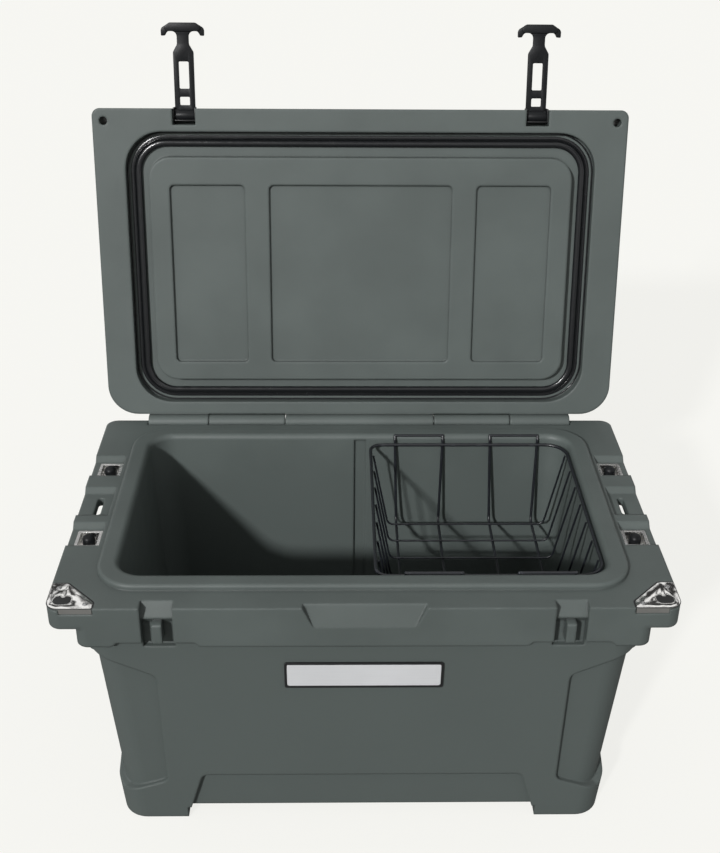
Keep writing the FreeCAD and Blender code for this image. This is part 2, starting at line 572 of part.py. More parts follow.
def cut_holes(body):
    """Padlock holes, seats of the corner plates, screw holes, pad seats, fill hole and drain."""
    for side, mark in ((-1, "left"), (1, "right")):
        seat = outline_sketch(body, "plate_seat_" + mark, "XY_Plane", "rim_height",
                              plate_outline(side, "fit_gap"))
        extrude(body, "Pocket", "plate_seat_cut_" + mark, seat, "plate_thick + plate_seat")
        x_in = "%d * (rim_width / 2 - plate_long - fit_gap)" % side
        x_out = "%d * (rim_width / 2 - rim_corner)" % side
        fold = outline_sketch(body, "fold_seat_" + mark, "XY_Plane", "rim_height",
                              box_corners(*sorted([x_in, x_out], key=value), "-(rim_depth / 2 + 5)",
                                          "-(rim_depth / 2 - plate_wall - pad_play)"))
        extrude(body, "Pocket", "fold_seat_cut_" + mark, fold, "plate_thick + plate_fold + plate_seat")
        holes = circle_sketch(body, "lock_holes_" + mark, "XY_Plane", "rim_height",
                              ("%d * lock_x" % side, "-lock_y", "lock_hole"))
        extrude(body, "Pocket", "lock_hole_cut_" + mark, holes, "wing_height")
        threads = circle_sketch(body, "plate_threads_" + mark, "XY_Plane", "rim_height",
                                *[(x, y, "screw_shank + 0.1") for x, y in screw_places(side)])
        extrude(body, "Pocket", "plate_thread_cut_" + mark, threads, "screw_length + 1")
    outlines = []
    for side_x in (-1, 1):
        for side_y in (-1, 1):
            outlines.append(box_corners("%d * pad_x - pad_length / 2 - pad_play" % side_x,
                                        "%d * pad_x + pad_length / 2 + pad_play" % side_x,
                                        "%d * pad_y - pad_depth / 2 - pad_play" % side_y,
                                        "%d * pad_y + pad_depth / 2 + pad_play" % side_y, "pad_corner"))
    seats = outline_sketch(body, "pad_seats", "XY_Plane", "foot_lift + pad_inset", *outlines)
    extrude(body, "Pocket", "pad_seat_cut", seats, "foot_lift + pad_inset + 1")
    fill = circle_sketch(body, "fill_outline", "XY_Plane", "foot_height + wall_thick + 1",
                         ("-fill_offset", "0", "fill_hole"))
    extrude(body, "Pocket", "fill_cut", fill, "wall_thick + 2")
    drain = circle_sketch(body, "drain_outline", "YZ_Plane", "top_width / 2 + 5",
                          ("drain_offset", "drain_height", "drain_tube + fit_gap * 2"))
    extrude(body, "Pocket", "drain_cut", drain, "top_width / 4")
    face = circle_sketch(body, "drain_face", "YZ_Plane", "top_width / 2 + 5",
                         ("drain_offset", "drain_height", "drain_flange + 4"))
    extrude(body, "Pocket", "drain_face_cut", face, "top_width / 2 + 5 - drain_out")
    inside = circle_sketch(body, "drain_inside", "YZ_Plane", "drain_in",
                           ("drain_offset", "drain_height", "drain_nut + 3"))
    extrude(body, "Pocket", "drain_inside_cut", inside, "20")


def plate_outline(side, grow):
    """Corner plate seen from above, drawn out by a margin on its two inner sides."""
    outer = "rim_width / 2"
    front = "-(rim_depth / 2)"
    corners = [(outer, front, "rim_corner"),
               (outer, "%s + plate_short + (%s)" % (front, grow)),
               ("%s - plate_clip_long" % outer, "%s + plate_short + (%s)" % (front, grow)),
               ("%s - plate_long - (%s)" % (outer, grow), "%s + plate_clip_short + (%s)" % (front, grow)),
               ("%s - plate_long - (%s)" % (outer, grow), front)]
    if side > 0:
        return corners
    return [("-(%s)" % item[0],) + item[1:] for item in corners][::-1]


def screw_places(side):
    """Centres of the two screws of a corner plate."""
    return [("%d * (rim_width / 2 - screw_edge)" % side, "-(rim_depth / 2) + plate_short - screw_end"),
            ("%d * (rim_width / 2 - plate_long + screw_end)" % side, "-(rim_depth / 2) + screw_end")]


def build_panel_cutter():
    """What the moulded corner panels and the arches between the feet take off the walls."""
    skin = new_body("panel_skin")
    low, high = "foot_lift - 1", "panel_roof"
    loft(skin, "AdditiveLoft", "skin_out",
         [body_outline(skin, "skin_low", low, "-20"), body_outline(skin, "skin_high", high, "-20")])
    loft(skin, "SubtractiveLoft", "skin_in",
         [body_outline(skin, "skin_in_low", low + " - 1", "panel_depth"),
          body_outline(skin, "skin_in_high", high + " + 1", "panel_depth")])
    prisms = []
    for mark, plane, half in (("front", "XZ_Plane", "top_width / 2"), ("end", "YZ_Plane", "top_depth / 2")):
        corners = new_body(mark + "_corners")
        outlines = []
        for side in (-1, 1):
            inner = "%d * (%s - panel_inner)" % (side, half)
            outer = "%d * (%s + 30)" % (side, half)
            outline = [(inner, "panel_low", "panel_round"), (outer, "panel_low - panel_drop"),
                       (outer, "panel_top + panel_rise"), (inner, "panel_top", "panel_round")]
            outlines.append(outline if side > 0 else outline[::-1])
        sketch = outline_sketch(corners, mark + "_corner_outline", plane, "0", *outlines)
        extrude(corners, "Pad", mark + "_corner_pad", sketch, "rim_width + 100", both_ways=True)
        arches = new_body(mark + "_arches")
        inner = "(%s - arch_margin)" % ("foot_inner_x" if mark == "front" else "foot_inner_y")
        wide, shoulder = "%s" % inner, "%s - arch_slope" % inner
        arch = [("-(%s)" % wide, "foot_lift - 1"), (wide, "foot_lift - 1"), (wide, "foot_height"),
                (shoulder, "arch_height", "arch_round"), ("-(%s)" % shoulder, "arch_height", "arch_round"),
                ("-(%s)" % wide, "foot_height")]
        sketch = outline_sketch(arches, mark + "_arch_outline", plane, "0", arch)
        extrude(arches, "Pad", mark + "_arch_pad", sketch, "rim_width + 100", both_ways=True)
        prisms.append((corners, arches))
    (front_corners, front_arches), (end_corners, end_arches) = prisms
    corners = boolean("Common", "corner_prisms", front_corners, end_corners)
    arches = boolean("Fuse", "arch_prisms", front_arches, end_arches)
    return boolean("Fuse", "panel_cutter", boolean("Common", "corner_panels", skin, corners),
                   boolean("Common", "arch_panels", skin, arches))


def build_tub():
    solid = build_tub_solid()
    hollowed = boolean("Cut", "tub_hollowed", solid, foam_core("tub_void", "0"))
    keep("tub_shell", boolean("Cut", "tub_panelled", hollowed, build_panel_cutter()))
    keep("tub_foam", foam_core("tub_foam", "foam_gap"))
    plug = new_body("tub_fill_plug")
    disc = circle_sketch(plug, "plug_disc", "XY_Plane", "foot_height - 1.5",
                         ("-fill_offset", "0", "fill_hole + 8"))
    extrude(plug, "Pad", "plug_disc_pad", disc, "1.5")
    stem = circle_sketch(plug, "plug_stem", "XY_Plane", "foot_height",
                         ("-fill_offset", "0", "fill_hole - 0.4"))
    extrude(plug, "Pad", "plug_stem_pad", stem, "wall_thick - 0.2")
    keep("tub_fill_plug", plug)
    for side_x, name_x in ((-1, "left"), (1, "right")):
        for side_y, name_y in ((-1, "front"), (1, "rear")):
            label = "foot_pad_%s_%s" % (name_y, name_x)
            pad = new_body(label)
            outline = outline_sketch(pad, label + "_outline", "XY_Plane", "0",
                                     box_corners("%d * pad_x - pad_length / 2" % side_x,
                                                 "%d * pad_x + pad_length / 2" % side_x,
                                                 "%d * pad_y - pad_depth / 2" % side_y,
                                                 "%d * pad_y + pad_depth / 2" % side_y, "pad_corner"))
            extrude(pad, "Pad", label + "_pad", outline, "foot_lift + pad_inset")
            keep(label, pad)


# ---------------------------------------------------------------- trim on the tub

def build_corner_plates():
    for side, mark in ((-1, "left"), (1, "right")):
        label = "corner_plate_" + mark
        body = new_body(label)
        flat = outline_sketch(body, label + "_outline", "XY_Plane", "rim_height - plate_thick",
                              plate_outline(side, "0"))
        extrude(body, "Pad", label + "_flat", flat, "plate_thick")
        x_in = "%d * (rim_width / 2 - plate_long)" % side
        x_out = "%d * (rim_width / 2 - rim_corner)" % side
        fold = outline_sketch(body, label + "_fold", "XY_Plane", "rim_height - plate_thick - plate_fold",
                              box_corners(*sorted([x_in, x_out], key=value), "-(rim_depth / 2)",
                                          "-(rim_depth / 2 - plate_wall)"))
        extrude(body, "Pad", label + "_fold_pad", fold, "plate_fold")
        oval = outline_sketch(body, label + "_oval", "XY_Plane", "rim_height",
                              box_corners("%d * lock_x - lock_oval / 2" % side,
                                          "%d * lock_x + lock_oval / 2" % side,
                                          "-lock_y - lock_oval_wide / 2", "-lock_y + lock_oval_wide / 2",
                                          "lock_oval_wide * 0.45"))
        extrude(body, "Pocket", label + "_oval_cut", oval, "plate_thick + 1")
        holes = circle_sketch(body, label + "_holes", "XY_Plane", "rim_height",
                              *[(x, y, "screw_shank + 0.4") for x, y in screw_places(side)])
        extrude(body, "Pocket", label + "_hole_cut", holes, "plate_thick + 1")
        sinks = circle_sketch(body, label + "_sinks", "XY_Plane", "rim_height",
                              *[(x, y, "screw_head + 0.4") for x, y in screw_places(side)])
        extrude(body, "Pocket", label + "_sink_cut", sinks, "sink_deep")
        keep(label, body)
        screws = new_body("plate_screws_" + mark)
        for number, (x, y) in enumerate(screw_places(side)):
            shank = circle_sketch(screws, "screw_%s_%d" % (mark, number), "XY_Plane",
                                  "rim_height - screw_length", (x, y, "screw_shank"))
            extrude(screws, "Pad", "screw_%s_%d_pad" % (mark, number), shank, "screw_length - sink_deep")
            head = circle_sketch(screws, "head_%s_%d" % (mark, number), "XY_Plane",
                                 "rim_height - sink_deep", (x, y, "screw_head"))
            extrude(screws, "Pad", "head_%s_%d_pad" % (mark, number), head, "sink_deep")
        keep("plate_screws_" + mark, screws)


def build_badge():
    """A plain plate in a thin frame, lying against the sloping front wall."""
    angle = "atan(wall_draft / band_low)"
    for label, inner in (("badge_frame", "0"), ("badge_plate", "badge_border")):
        body = new_body(label)
        shrink = "(%s) + %s" % (inner, "0" if label == "badge_frame" else "badge_play")
        outlines = [centred("badge_width", "badge_tall", "3", shrink)]
        if label == "badge_frame":
            outlines.append(centred("badge_width", "badge_tall", "1", "badge_border"))
        sketch = outline_sketch(body, label + "_outline", "XZ_Plane", "0", *outlines)
        extrude(body, "Pad", label + "_pad", sketch,
                "badge_thick" if label == "badge_frame" else "badge_thick - 0.5")
        lean = value(angle)
        face = value("top_depth / 2 - (%s)" % wall_shrink("badge_height"))
        body.Placement = FreeCAD.Placement(Vector(0, -face - value("badge_lift"), value("badge_height")),
                                           FreeCAD.Rotation(Vector(1, 0, 0), lean))
        body.setExpression("Placement.Rotation.Angle", bound(angle))
        body.setExpression("Placement.Base.y",
                           bound("-(top_depth / 2 - (%s)) - badge_lift" % wall_shrink("badge_height")))
        body.setExpression("Placement.Base.z", bound("badge_height"))
        keep(label, body)


def build_drain():
    """Flanged drain sleeve through the right wall, its nut and washer, and the screw plug with its seal."""
    across, up = "drain_offset", "drain_height"
    body = new_body("drain_sleeve")
    tube = circle_sketch(body, "sleeve_tube", "YZ_Plane", "drain_in - drain_nut_thick - drain_gasket",
                         (across, up, "drain_tube"))
    extrude(body, "Pad", "sleeve_pad", tube, "drain_out - drain_in + drain_nut_thick + drain_gasket")
    flange = circle_sketch(body, "sleeve_flange", "YZ_Plane", "drain_out", (across, up, "drain_flange"))
    extrude(body, "Pad", "sleeve_flange_pad", flange, "drain_flange_thick")
    bore = circle_sketch(body, "sleeve_bore", "YZ_Plane", "drain_out + drain_flange_thick",
                         (across, up, "drain_bore"))
    extrude(body, "Pocket", "sleeve_bore_cut", bore, "rim_width / 4")
    keep("drain_sleeve", body)
    for label, start, size, thick in (
            ("drain_washer", "drain_in - drain_gasket", "drain_nut", "drain_gasket"),
            ("drain_nut", "drain_in - drain_gasket - drain_nut_thick", "drain_nut", "drain_nut_thick")):
        body = new_body(label)
        ring = circle_sketch(body, label + "_ring", "YZ_Plane", start, (across, up, size),
                             (across, up, "drain_tube + fit_gap"))
        extrude(body, "Pad", label + "_pad", ring, thick)
        keep(label, body)
    face = "drain_out + drain_flange_thick"
    body = new_body("drain_seal")
    ring = circle_sketch(body, "seal_ring", "YZ_Plane", face, (across, up, "drain_bore + 8"),
                         (across, up, "drain_bore"))
    extrude(body, "Pad", "seal_pad", ring, "drain_gasket")
    keep("drain_seal", body)
    body = new_body("drain_plug")
    head = circle_sketch(body, "plug_head", "YZ_Plane", face + " + drain_gasket",
                         (across, up, "drain_plug_head"))
    extrude(body, "Pad", "plug_head_pad", head, "drain_plug_tall")
    grip = outline_sketch(body, "plug_grip", "YZ_Plane", face + " + drain_gasket + drain_plug_tall",
                          box_corners("drain_offset - drain_grip", "drain_offset + drain_grip",
                                      "drain_height - drain_grip_half",
                                      "drain_height + drain_grip_half", "drain_grip_half * 0.8"))
    extrude(body, "Pad", "plug_grip_pad", grip, "drain_plug_tall")
    stem = circle_sketch(body, "plug_stem", "YZ_Plane", face + " - drain_plug_long",
                         (across, up, "drain_bore - fit_gap * 2"))
    extrude(body, "Pad", "plug_stem_pad", stem, "drain_plug_long + drain_gasket")
    keep("drain_plug", body)


# ---------------------------------------------------------------- handles

def arc_rod(points, radii, thick):
    """Round rod along straight runs joined by tangent arcs."""
    edges = []
    start = points[0]
    for index in range(1, len(points) - 1):
        before = (points[index - 1] - points[index]).normalize()
        after = (points[index + 1] - points[index]).normalize()
        half = 0.5 * before.getAngle(after)
        reach = radii[index - 1] / math.tan(half)
        centre = points[index] + (before + after).normalize() * (radii[index - 1] / math.sin(half))
        into = points[index] + before * reach
        away = points[index] + after * reach
        middle = centre + (points[index] - centre).normalize() * radii[index - 1]
        edges.append(Part.LineSegment(start, into).toShape())
        edges.append(Part.Arc(into, middle, away).toShape())
        start = away
    edges.append(Part.LineSegment(start, points[-1]).toShape())
    path = Part.Wire(edges)
    heading = (points[1] - points[0]).normalize()
    profile = Part.Wire([Part.makeCircle(thick / 2.0, points[0], heading)])
    solid = path.makePipeShell([profile], True, True)
    return solid, path.Length


def closed_rod(points, bends, thick):
    """Round rod bent into a closed loop; the first point lies on a straight stretch."""
    return arc_rod(points + [points[0]], bends, thick)[0]


def add_shape(label, shape):
    feature = doc.addObject("Part::Feature", label)
    feature.Shape = shape
    feature.Placement = FreeCAD.Placement(Vector(0, 0, 0), FreeCAD.Rotation())
    return keep(label, feature)


def rope_route(side):
    """The hanging rope from one pivot to the other, by hand: down, in towards the grip, and back up."""
    x = side * value("cup_x")
    middle = value("cup_mid")
    spread = value("cup_pitch / 2")
    top = value("rope_pivot")
    half = [(0.0, 0.0), (1.0, -22.0), (8.0, -44.0), (24.0, -63.2), (56.0, -65.0)]
    route = [(spread - inwards, drop) for inwards, drop in half]
    route += [(inwards - spread, drop) for inwards, drop in half[::-1]]
    return [Vector(x, middle + along, top + drop) for along, drop in route]


def rope_radii(points):
    """Arc radii: 0.45 of the shorter run over the tangent of half the turn."""
    radii = []
    for index in range(1, len(points) - 1):
        before = points[index] - points[index - 1]
        after = points[index + 1] - points[index]
        turn = before.getAngle(after)
        radii.append(0.45 * min(before.Length, after.Length) / math.tan(turn / 2.0))
    return radii


def build_handles():
    thick = value("rope_thick")
    neck = value("rope_neck")
    play = value("fit_gap")
    point = value("rope_point") / 2.0
    for side, mark in ((-1, "left"), (1, "right")):
        route = rope_route(side)
        radii = rope_radii(route)
        print("rope_" + mark, "radii", [round(radius, 1) for radius in radii])
        solid, length = arc_rod(route, radii, thick)
        print("rope_" + mark, "length", round(length, 1), "volume error",
              round(solid.Volume / (math.pi * thick * thick / 4.0 * length) - 1.0, 4))
        for end, other in ((route[0], route[1]), (route[-1], route[-2])):
            away = (other - end).normalize()
            tip = Part.makeCone(point, thick / 2.0 + 1.0, neck + 0.5, end + away * play, away)
            collar = Part.makeCylinder(thick / 2.0 + 1.0, neck + 0.5 + play, end, away)
            solid = solid.cut(collar.cut(tip))
        add_shape("rope_" + mark, solid)
        build_grip(side, mark)
        for name, sign in (("rear", 1), ("front", -1)):
            build_cup(side, mark, name, sign)


def build_grip(side, mark):
    """Grip turned about its bore, thinner at the middle, with rounded ends."""
    label = "grip_" + mark
    body = new_body(label)
    half = "grip_length / 2"
    outline = [("-(%s)" % half, "grip_bore / 2"), (half, "grip_bore / 2"),
               (half, "grip_thick / 2", "soft_round"),
               ("0", "grip_waist / 2"), ("-(%s)" % half, "grip_thick / 2", "soft_round")]
    sketch = outline_sketch(body, label + "_outline", "YZ_Plane", "0", outline)
    doc.recompute()
    turned = body.newObject("PartDesign::Revolution", label + "_turn")
    turned.Profile = sketch
    turned.ReferenceAxis = (sketch, ["H_Axis"])
    turned.Angle = 360.0
    for axis, text in (("x", "%d * cup_x" % side), ("y", "cup_mid"), ("z", "rope_pivot - grip_hang")):
        setattr(body.Placement.Base, axis, value(text))
        body.setExpression("Placement.Base." + axis, bound(text))
    doc.recompute()
    keep(label, body)


def build_cup(side, mark, name, sign):
    """Square flanged cup let into the wing, with the rope's stopper and stub in it."""
    x = "%d * cup_x" % side
    y = "cup_mid %s cup_pitch / 2" % ("+" if sign > 0 else "-")
    floor = "rim_height - wing_pocket"
    base = "rim_height - hollow_roof"
    label = "handle_cup_%s_%s" % (name, mark)
    body = new_body(label)

    def square(shrink, radius="0"):
        return box_corners("%s - cup_width / 2 + (%s)" % (x, shrink),
                           "%s + cup_width / 2 - (%s)" % (x, shrink),
                           "%s - cup_length / 2 + (%s)" % (y, shrink), "%s + cup_length / 2 - (%s)" % (y,
                                                                                                       shrink),
                           radius)

    flange = outline_sketch(body, label + "_flange", "XY_Plane", floor, square("0", "1.5"))
    extrude(body, "Pad", label + "_flange_pad", flange, "cup_flange")
    well = outline_sketch(body, label + "_well", "XY_Plane", base, square("cup_wall"))
    extrude(body, "Pad", label + "_well_pad", well, "hollow_roof - wing_pocket")
    inside = outline_sketch(body, label + "_inside", "XY_Plane", "rim_height",
                            square("cup_wall + cup_bottom"))
    extrude(body, "Pocket", label + "_inside_cut", inside, "hollow_roof - cup_bottom")
    hole = circle_sketch(body, label + "_hole", "XY_Plane", "rim_height", (x, y, "rope_hole"))
    extrude(body, "Pocket", label + "_hole_cut", hole, "hollow_roof + 1")
    keep(label, body)
    label = "rope_end_%s_%s" % (name, mark)
    body = new_body(label)
    knob = circle_sketch(body, label + "_knob", "XY_Plane", "%s + cup_bottom" % base,
                         (x, y, "stopper_thick"))
    extrude(body, "Pad", label + "_knob_pad", knob,
            "hollow_roof - wing_pocket - cup_bottom + cup_flange + stopper_rise")
    round_edges(body, label + "_dome", "stopper_thick * 0.36",
                at_height("%s + cup_flange + stopper_rise" % floor))
    stub = circle_sketch(body, label + "_stub", "XY_Plane", "rope_pivot + rope_neck", (x, y, "rope_thick"))
    extrude(body, "Pad", label + "_stub_pad", stub, "%s + cup_bottom - rope_pivot - rope_neck" % base)
    loft(body, "AdditiveLoft", label + "_neck",
         [circle_sketch(body, label + "_neck_top", "XY_Plane", "rope_pivot + rope_neck",
                        (x, y, "rope_thick")),
          circle_sketch(body, label + "_neck_low", "XY_Plane", "rope_pivot + fit_gap", (x, y, "rope_point"))])
    keep(label, body)


# ---------------------------------------------------------------- lid

def swing_open(body):
    """Turn something built in the closed lid's place about the hinge to where the lid stands open."""
    turn = FreeCAD.Placement(Vector(0, 0, 0), FreeCAD.Rotation(Vector(-1, 0, 0), value("lid_open")))
    centre = Vector(0, value("hinge_y"), value("hinge_height"))
    base = centre - turn.Rotation.multVec(centre)
    body.Placement = FreeCAD.Placement(base, turn.Rotation)
    cosine, sine = "cos(lid_open)", "sin(lid_open)"
    body.setExpression("Placement.Rotation.Angle", bound("lid_open"))
    body.setExpression("Placement.Base.y",
                       bound("hinge_y - (hinge_y * %s + hinge_height * %s)" % (cosine, sine)))
    body.setExpression("Placement.Base.z",
                       bound("hinge_height - (hinge_height * %s - hinge_y * %s)" % (cosine, sine)))


def lid_outline(body, name, height, shrink):
    side = "lid_width / 2 - (%s)" % shrink
    front = "-(lid_front - (%s))" % shrink
    rear = "lid_rear - (%s) / 2" % shrink
    return outline_sketch(body, name, "XY_Plane", height,
                          [("-(%s)" % side, front, "lid_corner"), (side, front, "lid_corner"),
                           (side, rear, "lid_rear_corner"), ("-(%s)" % side, rear, "lid_rear_corner")])


def lid_core(label, gap):
    """The foam's shape inside the lid, drawn in by a gap all round."""
    body = new_body(label)
    sketch = outline_sketch(body, label + "_outline", "XY_Plane",
                            "lid_low + channel_deep + wall_thick + (%s)" % gap,
                            box_corners("-(lid_width / 2 - lid_draft - foam_inset - (%s))" % gap,
                                        "lid_width / 2 - lid_draft - foam_inset - (%s)" % gap,
                                        "-(lid_front - lid_foam_front - (%s))" % gap,
                                        "lid_rear - lid_foam_rear - (%s)" % gap, "lid_foam_corner"))
    extrude(body, "Pad", label + "_pad", sketch,
            "lid_thick - channel_deep - wall_thick - wall_thick - lid_top_panel - 2 * (%s)" % gap)
    return body


def build_lid():
    body = new_body("lid_solid")
    top = "lid_low + lid_thick"
    extrude(body, "Pad", "lid_block", lid_outline(body, "lid_low", "lid_low", "0"), "lid_thick",
            taper="-atan(lid_draft / lid_thick)")
    round_edges(body, "lid_top_rounds", "lid_round", at_height(top))
    left, right = "hinge_y - barrel_round", "hinge_y + barrel_round"
    low = "hinge_height - barrel_round"
    spans = [("-(barrel_end + knuckle_out + side_gap) / 2", "barrel_end - knuckle_out - side_gap"),
             ("0", "2 * (knuckle_in - side_gap)"),
             ("(barrel_end + knuckle_out + side_gap) / 2", "barrel_end - knuckle_out - side_gap")]
    for number, (centre, length) in enumerate(spans):
        web = outline_sketch(body, "barrel_%d" % number, "YZ_Plane", centre,
                             [(left, low, "barrel_round * 0.97"), (right, low, "barrel_round * 0.97"),
                              (right, "hinge_height + 14"), ("lid_rear - 4", "hinge_height + 30"),
                              ("lid_rear - 4", "hinge_height + 3"), (left, "hinge_height + 3")])
        extrude(body, "Pad", "barrel_pad_%d" % number, web, length, both_ways=True)
    bore = circle_sketch(body, "lid_bore", "YZ_Plane", "0",
                         ("hinge_y", "hinge_height", "pin_thick + pin_play * 2"))
    extrude(body, "Pocket", "lid_bore_cut", bore, "2 * barrel_end + 2", both_ways=True)
    cut_lid_underside(body)
    cut_lid_slots(body)
    panel = outline_sketch(body, "lid_top_outline", "XY_Plane", top,
                           box_corners("-(lid_width / 2 - lid_top_margin)", "lid_width / 2 - lid_top_margin",
                                       "-(lid_front - lid_top_margin)", "lid_rear - lid_top_margin",
                                       "lid_top_corner"))
    extrude(body, "Pocket", "lid_top_cut", panel, "lid_top_panel")
    fill = circle_sketch(body, "lid_fill_hole", "XZ_Plane", "-(lid_rear + 2)",
                         ("-lid_panel_rear", "lid_low + lid_fill_height", "lid_fill"))
    extrude(body, "Pocket", "lid_fill_cut", fill, "lid_foam_rear + 3", backwards=True)
    shell = boolean("Cut", "lid_shell_cut", body, lid_core("lid_void", "0"))
    swing_open(shell)
    keep("lid_shell", shell)
    foam = lid_core("lid_foam", "foam_gap")
    swing_open(foam)
    keep("lid_foam", foam)
    build_lid_fittings()


def cut_lid_underside(body):
    channel = outline_sketch(body, "channel", "XY_Plane", "lid_low",
                             centred("channel_width", "channel_depth", "channel_corner"),
                             centred("plug_width", "plug_depth", "plug_corner"))
    extrude(body, "Pocket", "channel_cut", channel, "channel_deep", backwards=True)
    outlines = [box_corners("-centre_panel", "centre_panel", "-lid_panel_front", "lid_panel_rear",
                            "lid_panel_round"),
                box_corners("side_panel_in", "side_panel_out", "-lid_panel_front", "lid_panel_rear",
                            "lid_panel_round"),
                box_corners("-side_panel_out", "-side_panel_in", "-lid_panel_front", "lid_panel_rear",
                            "lid_panel_round")]
    panels = outline_sketch(body, "lid_panels", "XY_Plane", "lid_low", *outlines)
    extrude(body, "Pocket", "lid_panel_cut", panels, "lid_panel_deep", backwards=True)


def cut_lid_slots(body):
    for side, mark in ((-1, "left"), (1, "right")):
        centre = "%d * latch_x" % side
        slot = outline_sketch(body, "lid_slot_" + mark, "XY_Plane", "lid_low",
                              box_corners(centre + " - lid_slot_width / 2", centre + " + lid_slot_width / 2",
                                          "-(lid_front + 5)", "-(lid_front - lid_slot_deep)"))
        extrude(body, "Pocket", "lid_slot_cut_" + mark, slot, "lid_slot_tall", backwards=True)
        pin = circle_sketch(body, "latch_bore_" + mark, "YZ_Plane", centre,
                            ("-latch_y", "rim_height + latch_rise", "latch_pin + pin_play * 2"))
        extrude(body, "Pocket", "latch_bore_cut_" + mark, pin, "latch_pin_long + 1", both_ways=True)
        lock = circle_sketch(body, "lid_lock_" + mark, "XY_Plane", "lid_low",
                             ("%d * lock_x" % side, "-lock_y", "lock_hole"))
        extrude(body, "Pocket", "lid_lock_cut_" + mark, lock, "lid_thick + 1", backwards=True)


def build_lid_fittings():
    gasket = new_body("lid_gasket")
    ring = outline_sketch(gasket, "gasket_ring", "XY_Plane",
                          "lid_low + channel_deep - gasket_tall",
                          centred("gasket_width", "gasket_depth", "gasket_corner"),
                          centred("gasket_width", "gasket_depth", "gasket_corner - gasket_wall",
                                  "gasket_wall"))
    extrude(gasket, "Pad", "gasket_pad", ring, "gasket_tall")
    swing_open(gasket)
    keep("lid_gasket", gasket)
    plug = new_body("lid_fill_plug")
    stem = circle_sketch(plug, "lid_plug_stem", "XZ_Plane", "-(lid_rear - 1.2)",
                         ("-lid_panel_rear", "lid_low + lid_fill_height", "lid_fill - 0.4"))
    extrude(plug, "Pad", "lid_plug_pad", stem, "lid_foam_rear - 1.8")
    swing_open(plug)
    keep("lid_fill_plug", plug)
    for side, mark in ((-1, "left"), (1, "right")):
        pin = new_body("hinge_pin_" + mark)
        rod = circle_sketch(pin, "rod_" + mark, "YZ_Plane", "%d * (barrel_end + pin_inner) / 2" % side,
                            ("hinge_y", "hinge_height", "pin_thick"))
        extrude(pin, "Pad", "rod_pad_" + mark, rod, "barrel_end - pin_inner - side_gap", both_ways=True)
        swing_open(pin)
        keep("hinge_pin_" + mark, pin)
        pin = new_body("latch_pin_" + mark)
        rod = circle_sketch(pin, "latch_rod_" + mark, "YZ_Plane", "%d * latch_x" % side,
                            ("-latch_y", "rim_height + latch_rise", "latch_pin"))
        extrude(pin, "Pad", "latch_rod_pad_" + mark, rod, "latch_pin_long", both_ways=True)
        swing_open(pin)
        keep("latch_pin_" + mark, pin)
        build_latch(side, mark)


def build_latch(side, mark):
    """Rubber strap with an eye round its pin, two windows, a stem and a tee to pull on."""
    label = "latch_" + mark
    body = new_body(label)
    centre = "%d * latch_x" % side
    root = "-latch_y"
    near = "rim_height + latch_rise + strap_near"

    def across(half):
        return "%s - (%s)" % (centre, half), "%s + (%s)" % (centre, half)

    left, right = across("strap_width / 2")
    stem_left, stem_right = across("stem_width / 2")
    strap = [(left, root), (right, root)][::-1]
    strap += [(left, root + " - strap_end", "soft_round"), (stem_left, root + " - stem_start", "soft_round"),
              (stem_left, root + " - stem_end"), (stem_right, root + " - stem_end"),
              (stem_right, root + " - stem_start", "soft_round"), (right, root + " - strap_end",
                                                                   "soft_round")]
    window_left, window_right = across("window_width / 2")
    windows = [box_corners(window_left, window_right, root + " - window_far", root + " - window_near", "1"),
               box_corners(window_left, window_right, root + " - gate_far", root + " - gate_near", "1")]
    flat = outline_sketch(body, label + "_strap", "XY_Plane", near, strap, *windows)
    extrude(body, "Pad", label + "_strap_pad", flat, "strap_thick")
    eye = circle_sketch(body, label + "_eye", "YZ_Plane", centre,
                        (root, "rim_height + latch_rise", "eye_round * 2"))
    extrude(body, "Pad", label + "_eye_pad", eye, "strap_width", both_ways=True)
    tee_left, tee_right = across("tee_width / 2")
    tee = outline_sketch(body, label + "_tee", "XY_Plane", near + " - tee_extra",
                         [(stem_left, root + " - stem_end + tee_root"),
                          (tee_left, root + " - stem_end", "soft_round"),
                          (tee_left, root + " - tee_end", "soft_round"), (tee_right, root + " - tee_end",
                                                                          "soft_round"),
                          (tee_right, root + " - stem_end", "soft_round"), (stem_right,
                                                                            root + " - stem_end + tee_root")])
    extrude(body, "Pad", label + "_tee_pad", tee, "strap_thick + tee_extra * 2")
    hole = circle_sketch(body, label + "_hole", "YZ_Plane", centre,
                         (root, "rim_height + latch_rise", "latch_pin + pin_play * 2"))
    extrude(body, "Pocket", label + "_hole_cut", hole, "strap_width + 2", both_ways=True)
    swing_open(body)
    keep(label, body)


# ---------------------------------------------------------------- basket

